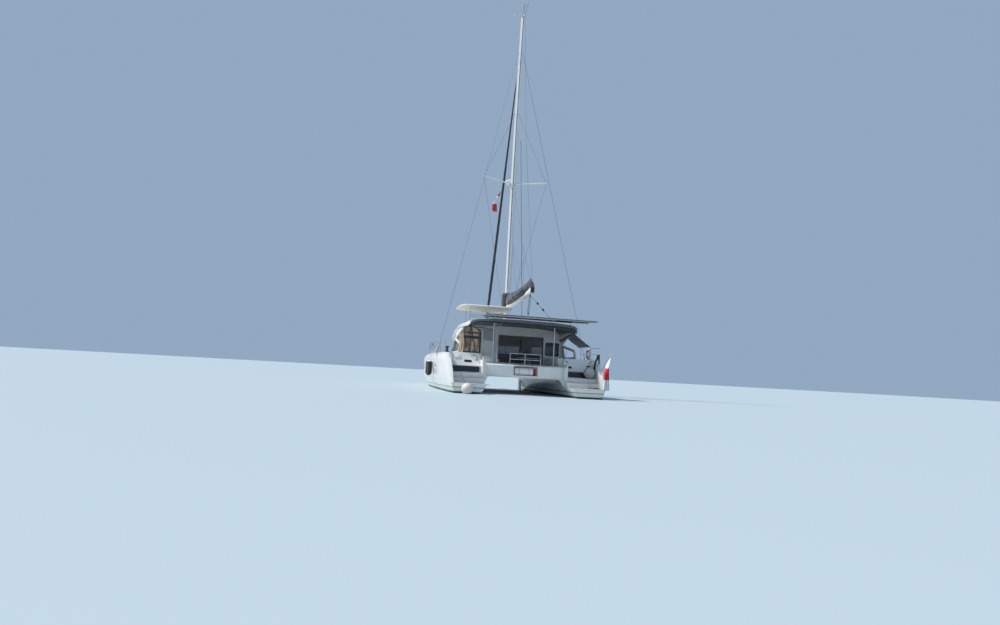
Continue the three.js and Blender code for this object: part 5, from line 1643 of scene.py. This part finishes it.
def makeHelmGear(setup):
    x0, x1, z0, z1 = setup["panel"]
    screens = []
    for a, b in ((x0, x0 + 0.20), (x0 + 0.24, x0 + 0.49), (x0 + 0.53, x1)):
        spot, _ = surfaceAt("helm_station", ((a + b) / 2, -4, (z0 + z1) / 2), (0, 1, 0))
        if spot is None:
            continue
        face = [(x, spot.y - 0.003, z) for x, z in roundOutline(a, b, z0, z1, 0.012, 3)]
        screens.append(soften(addPlate(face, (0, -0.012, 0)), 0.003))
    if screens:
        settle(joinUp(screens), "helm_instruments", blackPlastic, "platform", 40)
    x0, x1, y0, y1, z = setup["seat"]
    pad = addPlate([(x, y, z + 0.002) for x, y in roundOutline(x0, x1, y0, y1, 0.05, 5)], (0, 0, 0.07))
    soften(pad, 0.022, 3)
    modify(pad, "REMESH", mode="VOXEL", voxel_size=0.014)
    fill(pad)
    modify(pad, "SUBSURF", levels=1, render_levels=1)
    settle(pad, "helm_seat_pad", creamVinyl, "platform", 60)
    x, y, z = setup["wheel"]
    grip = addRing((x, y, z), 0.38, 0.019, (math.pi / 2, 0, 0), 64, 12)
    settle(grip, "wheel_grip", blackRubber, "helm_wheel", 60)


makeHelmGear(helmWork)

raftWork = {"axis": (-5.02, 1.06), "x": (-0.44, 0.42), "radius": 0.172, "bag": (0.50, -5.06, 1.06)}


def makeRaft(setup):
    # the raft's canister in two ribbed halves with its straps, and the throw bag by it
    y, z = setup["axis"]
    x0, x1 = setup["x"]
    r, length = setup["radius"], x1 - x0
    profile = [(0.004, 0), (r * 0.86, 0.0), (r * 0.97, 0.02)]
    for k in range(1, 12):
        at = length * k / 12
        profile += [(r * 0.97, at - 0.014), (r, at - 0.008), (r, at + 0.008), (r * 0.97, at + 0.014)]
    profile += [(r * 0.97, length - 0.02), (r * 0.86, length), (0.004, length)]
    shell = addTurned(profile, (x0, y, z), 32, (1, 0, 0))
    settle(shell, "raft_canister", gelcoat, "platform", 30, ("liferaft",))
    straps = [addRing((x, y, z), r + 0.002, 0.005, (0, math.pi / 2, 0), 40, 8)
              for x in (x0 + 0.20, x1 - 0.20)]
    settle(joinUp(straps), "raft_straps", blackRubber, "platform", 60)
    bx, by, bz = setup["bag"]
    bag = addLoft([[(bx + w * math.cos(a), by + w * 0.9 * math.sin(a), bz + h)
                    for a in (2 * math.pi * k / 16 for k in range(16))]
                   for h, w in ((-0.17, 0.03), (-0.165, 0.062), (-0.05, 0.070), (0.08, 0.068), (0.13, 0.045),
                                (0.155, 0.020))])
    modify(bag, "SUBSURF", levels=1, render_levels=1)
    settle(bag, "throw_bag", redCloth, "platform", 60)


redCloth = clothFinish("redCloth", (0.50, 0.02, 0.03), 0.0025)
makeRaft(raftWork)


def makeSaloonSeat():
    seat = mouldFrom("saloon_settee", seatCloth, 0.03, 50)


makeSaloonSeat()

sideBlind = {"from": (2.44, -4.78, 2.985), "to": (2.60, -2.30, 2.74), "radius": 0.055}


def makeRolledBlind(setup):
    # a side screen rolled up under the hardtop's rim, tied with three straps
    start, end = Vector(setup["from"]), Vector(setup["to"])
    way = (end - start).normalized()
    east = way.cross(Vector((0, 0, 1))).normalized()
    up = east.cross(way)
    length = (end - start).length
    rings = []
    for step in range(33):
        t = step / 32
        pinch = 1 - 0.20 * max(0, 1 - min(abs(t - k) for k in (0.12, 0.5, 0.88)) / 0.05)
        ring = []
        for k in range(18):
            a = 2 * math.pi * k / 18
            r = setup["radius"] * pinch * (1 + 0.10 * (((a / (2 * math.pi)) + 0.13 * t) % 1))
            ring.append(start + way * (length * t) + east * (r * math.cos(a)) + up * (r * math.sin(a)))
        rings.append(ring)
    roll = addLoft(rings)
    settle(roll, "rolled_blind", stripCanvas, "platform", 60)


makeRolledBlind(sideBlind)
print("windows, doors and cockpit made")

# Deck, roof and cockpit details

padWork = {
    "coachroof": {"node": "coachroof", "pads": ((-2.05, -0.40, -1.55, 1.55), (0.40, 2.05, -1.55, 1.55),
                                                (-0.34, 0.34, -0.35, 1.70))},
    "foredeck": {"node": "bridgedeck", "pads": ((-2.25, -1.58, 2.42, 2.98), (1.58, 2.25, 2.42, 2.98))},
    "side": {"y": ((-4.0, -2.2), (-2.1, -0.2), (-0.1, 1.9), (2.0, 3.6), (3.7, 5.0)), "inner": 3.02,
             "inboard": 0.30},
    "hatches": ((-1.22, 1.90, "coachroof"), (1.22, 1.90, "coachroof"), (-1.22, -1.76, "coachroof"),
                (2.72, 3.35, "hull_starboard"), (-2.72, 3.35, "hull_port"), (2.62, 4.45, "hull_starboard"),
                (-2.62, 4.45, "hull_port")),
    "hatchSize": 0.25,
}


def layPad(node, x0, x1, y0, y1, name, finish=None):
    # a thin pad with round corners laid on a surface from above
    def pointAt(s, t):
        x, y = x0 + (x1 - x0) * s, y0 + (y1 - y0) * t
        r = 0.08
        edge = max(0, r - min(x - x0, x1 - x)) / r
        y += (0.5 - t) * 2 * r * 0.55 * edge * edge
        spot, normal = surfaceAt(node, (x, y, 6), (0, 0, -1))
        return spot + normal * 0.003 if spot else Vector((x, y, 0))
    pad = ribbon(pointAt, max(6, int((x1 - x0) / 0.08)), max(6, int((y1 - y0) / 0.10)))
    modify(pad, "SOLIDIFY", thickness=0.003, offset=-1)
    return settle(pad, name, finish or deckPad, "platform", 40)


deckPad = gripFinish("deckPad", (0.50, 0.52, 0.53))


def makeHatch(x, y, node, size, name):
    # a deck hatch: alloy frame with round corners, smoked pane, two hinges and a handle
    spot, normal = surfaceAt(node, (x, y, 6), (0, 0, -1))
    if spot is None:
        return
    tilt = normal.to_track_quat("Z", "Y").to_matrix()

    def at(dx, dy, dz):
        return spot + tilt @ Vector((dx, dy, dz))
    frameRing = [at(dx, dy, 0.012) for dx, dy in roundOutline(-size, size, -size, size, 0.07, 5)]
    rim = addTube(frameRing + frameRing[:1], 0.020, 8)
    settle(rim, name + "_frame", anodisedAlloy, "platform", 50)
    inside = size - 0.012
    pane = addPlate([at(dx, dy, 0.004) for dx, dy in roundOutline(-inside, inside, -inside, inside, 0.06, 5)],
                    tuple(normal * 0.014))
    soften(pane, 0.004)
    settle(pane, name + "_pane", smokedGlass, "platform", 30)
    fittings = [addBar(at(side * 0.12 - 0.03, size + 0.012, 0.030),
                       at(side * 0.12 + 0.03, size + 0.012, 0.030), 0.012, 10) for side in (-1, 1)]
    fittings.append(addTube([at(-0.05, -size + 0.05, 0.018), at(-0.03, -size + 0.05, 0.045),
                             at(0.03, -size + 0.05, 0.045), at(0.05, -size + 0.05, 0.018)], 0.008, 8, True))
    settle(joinUp(fittings), name + "_fittings", blackPlastic, "platform", 50)


def makeDeckPads(setup):
    for group in ("coachroof", "foredeck"):
        for index, (x0, x1, y0, y1) in enumerate(setup[group]["pads"]):
            layPad(setup[group]["node"], x0, x1, y0, y1, group + "_pad_" + str(index))
    for sign, side in handed:
        for index, (y0, y1) in enumerate(setup["side"]["y"]):
            outer = min(deckEdge(y0, setup["side"]["inboard"]), deckEdge(y1, setup["side"]["inboard"]))
            inner = setup["side"]["inner"] if y1 < 2.0 else setup["side"]["inner"] - 0.55
            x0, x1 = sorted((sign * inner, sign * outer))
            layPad("hull_" + side, x0, x1, y0, y1, "side_deck_pad_" + side + "_" + str(index))
    for index, (x, y, node) in enumerate(setup["hatches"]):
        makeHatch(x, y, node, setup["hatchSize"], "deck_hatch_" + str(index))


makeDeckPads(padWork)

mastWork = {"track": (5.35, 20.15), "boots": 11.06, "lights": (8.6, 0.165)}


def makeMastFittings(setup):
    # the sail track up the after face, boots on the spreader roots and a deck light
    low, high = setup["track"]
    steps = 24
    heights = [low + (high - low) * k / steps for k in range(steps + 1)]
    back = mastShape["half"][1] + 0.004
    track = addTube([(0, mastY(z) - back, z) for z in heights], 0.013, 8)
    settle(track, "mast_track", blackRubber, "platform", 50)
    side = mastShape["half"][0]
    for sign, name in handed:
        boot = addTurned([(0.03, 0), (0.060, 0.0), (0.064, 0.02), (0.045, 0.07), (0.030, 0.09)],
                         (sign * side, mastY(setup["boots"]) - 0.01, setup["boots"]), 20, (sign, -0.55, 0))
        settle(boot, "spreader_boot_" + name, blackRubber, "platform", 50)
    z, out = setup["lights"]
    y = mastY(z)
    lamp = [addTurned([(0.01, 0), (0.05, 0.0), (0.06, 0.05), (0.045, 0.09), (0.01, 0.10)],
                      (0, y + out, z - 0.05), 20), addBar((0, y + 0.10, z), (0, y + out, z), 0.016, 10)]
    settle(joinUp(lamp), "mast_steaming_light", blackPlastic, "platform", 50)
    foot = addTurned([(0.13, 0), (0.22, 0.0), (0.22, 0.015), (0.19, 0.03), (0.16, 0.035)],
                     (0, mastShape["foot"][0], 3.302), 32)
    settle(foot, "mast_foot_ring", anodisedAlloy, "platform", 40)


makeMastFittings(mastWork)

stanchionFeet = ((3.54, -4.1), (3.57, -2.7), (3.58, -0.4), (3.56, 1.0), (3.50, 2.4), (3.33, 3.7), (3.06, 5.1))


def makeStanchionFeet():
    for sign, side in handed:
        feet = []
        for x, y in stanchionFeet:
            spot, normal = surfaceAt("hull_" + side, (sign * x, y, 6), (0, 0, -1))
            feet.append(addTurned([(0.016, 0), (0.045, 0.0), (0.045, 0.006), (0.028, 0.012), (0.022, 0.055),
                                   (0.016, 0.058)], spot, 20, normal))
        settle(joinUp(feet), "stanchion_feet_" + side, polishedSteel, "platform", 45)


makeStanchionFeet()

roofRails = {"x": 2.20, "run": (-1.50, 1.10), "feet": 5, "tall": 0.075}


def makeRoofRails(setup):
    # long grab rails down each side of the coachroof
    y0, y1 = setup["run"]
    for sign, side in handed:
        spots = []
        for k in range(setup["feet"]):
            y = y0 + (y1 - y0) * k / (setup["feet"] - 1)
            spots.append(surfaceAt("coachroof", (sign * setup["x"], y, 6), (0, 0, -1))[0])
        lift = Vector((0, 0, setup["tall"]))
        rail = [addTube([spots[0]] + [spot + lift for spot in spots] + [spots[-1]], 0.013, 10, True)]
        rail += [addBar(spot, spot + lift, 0.010, 10) for spot in spots[1:-1]]
        rail += [addTurned([(0.012, 0), (0.030, 0.0), (0.030, 0.006), (0.014, 0.010)], spot, 16)
                 for spot in spots]
        settle(joinUp(rail), "roof_rail_" + side, polishedSteel, "platform", 60)


makeRoofRails(roofRails)

# Under the hardtop and in the cockpit

cockpitWork = {
    "roll": ((-2.42, 3.165), (-1.97, 3.225), (-1.42, 3.240), (-0.60, 3.225), (0.15, 3.215), (1.17, 3.21),
             (1.98, 3.19), (2.42, 3.15)),
    "rollY": -4.93, "rollRadius": 0.042,
    "lamps": ((-1.0, -4.2), (0.2, -4.2), (1.4, -4.2), (-0.3, -2.9), (1.0, -2.9)),
    "strut": ((-1.08, -4.90, 3.26), (-1.41, -4.86, 2.78)),
}


def makeRoofUnderside(setup):
    # the after screen rolled up under the roof's edge in its straps, and lamps let into the lining
    points = setup["roll"]
    xs = [points[0][0] + (points[-1][0] - points[0][0]) * k / 60 for k in range(61)]
    rings = []
    for k, x in enumerate(xs):
        z = between(points, x)
        nip = 1 - 0.22 * max(0, 1 - min(abs(k / 60 - s) for s in (0.06, 0.28, 0.5, 0.72, 0.94)) / 0.018)
        r = setup["rollRadius"] * nip
        rings.append([(x, setup["rollY"] + r * (1 + 0.1 * ((a / 6.283 + 0.2 * k / 60) % 1)) * math.cos(a),
                       z + r * math.sin(a)) for a in (2 * math.pi * n / 14 for n in range(14))])
    roll = addLoft(rings)
    settle(roll, "rolled_aft_screen", stripCanvas, "platform", 60)
    for index, (x, y) in enumerate(setup["lamps"]):
        spot, _ = surfaceAt("hardtop", (x, y, 2.2), (0, 0, 1))
        if spot is None:
            continue
        rim = addTurned([(0.030, 0), (0.050, 0.0), (0.050, 0.006), (0.040, 0.012), (0.030, 0.010)],
                        spot, 24, (0, 0, -1))
        settle(rim, "roof_lamp_" + str(index), anodisedAlloy, "platform", 40)
        lens = addTurned([(0.002, 0), (0.030, 0.0), (0.029, 0.005), (0.002, 0.008)], spot, 24, (0, 0, -1))
        settle(lens, "roof_lamp_lens_" + str(index), whiteVinyl, "platform", 40)
    low, high = setup["strut"]
    strut = [addBar(low, high, 0.012, 10), addBall(high, 0.020, 12), addBall(low, 0.018, 12)]
    settle(joinUp(strut), "roof_strut", anodisedAlloy, "platform", 50)


makeRoofUnderside(cockpitWork)


def makeJoinery():
    # counter, sink and locker fronts of the galley, and cushions against the settee's back
    top = addPlate([(x, y, 1.932) for x, y in roundOutline(1.25, 1.83, -1.88, 1.18, 0.03, 3)], (0, 0, 0.018))
    soften(top, 0.004)
    settle(top, "galley_counter", whiteVinyl, "platform", 40)
    bowl = [addTube([(x, y, 1.956) for x, y in roundOutline(1.36, 1.74, -0.60, -0.14, 0.05, 4)]
                    + [(1.36 + 0.05, -0.60, 1.956)], 0.008, 8),
            addTube([(1.76, -0.37, 1.952), (1.76, -0.37, 2.20), (1.70, -0.37, 2.25), (1.60, -0.37, 2.20)],
                    0.011, 10, True)]
    settle(joinUp(bowl), "galley_sink", polishedSteel, "platform", 50)
    fronts = []
    for k in range(5):
        y0 = -1.80 + k * 0.60
        door = addPlate([(1.237, y, z) for y, z in roundOutline(y0, y0 + 0.56, 1.12, 1.82, 0.02, 3)],
                        (-0.014, 0, 0))
        soften(door, 0.004)
        fronts.append(door)
    settle(joinUp(fronts), "galley_fronts", oakJoinery, "platform", 40)
    pulls = [addTube([(1.221, y - 0.06, 1.74), (1.195, y - 0.05, 1.74), (1.195, y + 0.05, 1.74),
                      (1.221, y + 0.06, 1.74)], 0.006, 8) for y in (-1.52 + 0.60 * k for k in range(5))]
    settle(joinUp(pulls), "galley_pulls", polishedSteel, "platform", 50)
    backs = []
    for k in range(4):
        y0 = -0.45 + k * 0.63
        back = addPlate([(-1.83, y, z) for y, z in roundOutline(y0, y0 + 0.58, 1.45, 1.86, 0.05, 4)],
                        (0.13, 0, 0))
        soften(back, 0.035, 3)
        modify(back, "REMESH", mode="VOXEL", voxel_size=0.016)
        modify(back, "SUBSURF", levels=1, render_levels=1)
        backs.append(back)
    cushionsMade = settle(joinUp(backs), "settee_backs", darkSeatCloth, "platform", 60)


makeJoinery()

clutter = {
    "panel": ((-1.61, -1.03), -3.315, (2.46, 3.05)),
    "box": ((-1.82, -4.56, 1.402), (-1.36, -4.26, 1.66)),
    "post": ((-1.25, -4.87, 1.352), (-1.25, -4.87, 2.16)),
    "bollard": (-3.51, -4.60, 1.79),
}


def makeClutter(setup):
    x0, x1 = setup["panel"][0]
    y = setup["panel"][1]
    z0, z1 = setup["panel"][2]
    # a grey panel on the helm's aft face: its grey is painted shade, standing for the white moulding there
    # seen in the shade
    back = addPlate([(x, y, z) for x, z in roundOutline(x0, x1, z0, z1, 0.08, 5)], (0, 0.05, 0))
    soften(back, 0.02, 3)
    settle(back, "helm_shade_panel", shadeGreyVinyl, "platform", 50)
    (bx0, by0, bz0), (bx1, by1, bz1) = setup["box"]
    chest = soften(addBlock((bx0, by0, bz0), (bx1, by1, bz1 - 0.05)), 0.03, 3)
    lid = soften(addBlock((bx0 - 0.01, by0 - 0.01, bz1 - 0.047), (bx1 + 0.01, by1 + 0.01, bz1)), 0.018, 3)
    latchX = (bx0 + bx1) / 2
    latch = addBlock((latchX - 0.03, by0 - 0.022, bz1 - 0.09), (latchX + 0.03, by0 - 0.006, bz1 - 0.02))
    settle(joinUp([chest, lid, soften(latch, 0.005)]), "cool_box", whiteVinyl, "platform", 50)
    low, high = setup["post"]
    post = [addBar(low, high, 0.016, 12),
            addTurned([(0.016, 0), (0.040, 0.0), (0.040, 0.008), (0.020, 0.02)], low, 20),
            addBall(high, 0.022, 12)]
    settle(joinUp(post), "boarding_post", whiteVinyl, "platform", 50)
    x, y, z = setup["bollard"]
    spot, _ = surfaceAt("hull_port", (x, y, 6), (0, 0, -1))
    drum = addTurned([(0.05, 0), (0.085, 0.0), (0.085, 0.02), (0.060, 0.04), (0.055, 0.15), (0.075, 0.20),
                      (0.080, 0.24), (0.055, 0.275), (0.01, 0.28)], spot, 24)
    settle(drum, "port_quarter_winch", blackPlastic, "platform", 40)


# grey vinyl standing for painted shade on the helm's aft face
shadeGreyVinyl = vinylFinish("shadeGreyVinyl", (0.36, 0.38, 0.39), 0.5)
makeClutter(clutter)

sternDetails = {"rungs": (-6.30, -6.12, -5.94), "ladderX": (2.875, 3.185), "rungTop": 0.487}


def makeLadderTreads(setup):
    # moulded treads snapped over the ladder's rungs
    x0, x1 = setup["ladderX"]
    treads = []
    for y in setup["rungs"]:
        outline = roundOutline(x0, x1, y - 0.032, y + 0.032, 0.015, 3)
        tread = addPlate([(x, along, setup["rungTop"]) for x, along in outline], (0, 0, 0.014))
        treads.append(soften(tread, 0.004))
    settle(joinUp(treads), "ladder_treads", blackPlastic, "platform", 40)


makeLadderTreads(sternDetails)


def makeNavigationLights():
    # a green and a red side light on the bow rails
    for sign, side, glass in ((1, "starboard", greenLens), (-1, "port", redLens)):
        spot = (sign * 2.89, 6.18, 2.42)
        lamp = addTurned([(0.01, 0), (0.032, 0.0), (0.034, 0.012), (0.034, 0.075), (0.026, 0.092),
                          (0.01, 0.095)], spot, 20)
        settle(lamp, "side_light_" + side, blackPlastic, "platform", 40)
        lens = addTurned([(0.028, 0.018), (0.0355, 0.018), (0.0355, 0.068), (0.028, 0.068)], spot, 20)
        settle(lens, "side_light_lens_" + side, glass, "platform", 40)


greenLens = smokedFinish("greenLens", (0.02, 0.30, 0.12), 0.35)
redLens = smokedFinish("redLens", (0.45, 0.02, 0.02), 0.35)
makeNavigationLights()


def makePanelFrame():
    # the alloy rim round the solar panels, and bars over the joins between them
    low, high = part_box("solar_panel")
    z = high.z - 0.004
    corners = ((low.x, low.y), (high.x, low.y), (high.x, high.y), (low.x, high.y), (low.x, low.y))
    runs = [addTube([(x, y, z) for x, y in corners], 0.011, 8)]
    for k in range(1, 5):
        x = low.x + (high.x - low.x) * k / 5
        runs.append(addBar((x, low.y, z + 0.003), (x, high.y, z + 0.003), 0.007, 8))
    settle(joinUp(runs), "solar_frame", anodisedAlloy, "platform", 50)


makePanelFrame()
print("details made")

# Floor at the waterline


def makeFloor(setup):
    startFresh()
    bpy.ops.mesh.primitive_plane_add(size=setup["floorSize"], location=(0, 0, 0))
    floor = bpy.context.object
    floor.name = "studioFloor"
    floor.data.materials.append(newFinish("paleFloor", setup["floorColour"], 0.6, Specular_IOR_Level=0.1))


makeFloor(lightSetup)

print("scene finished")
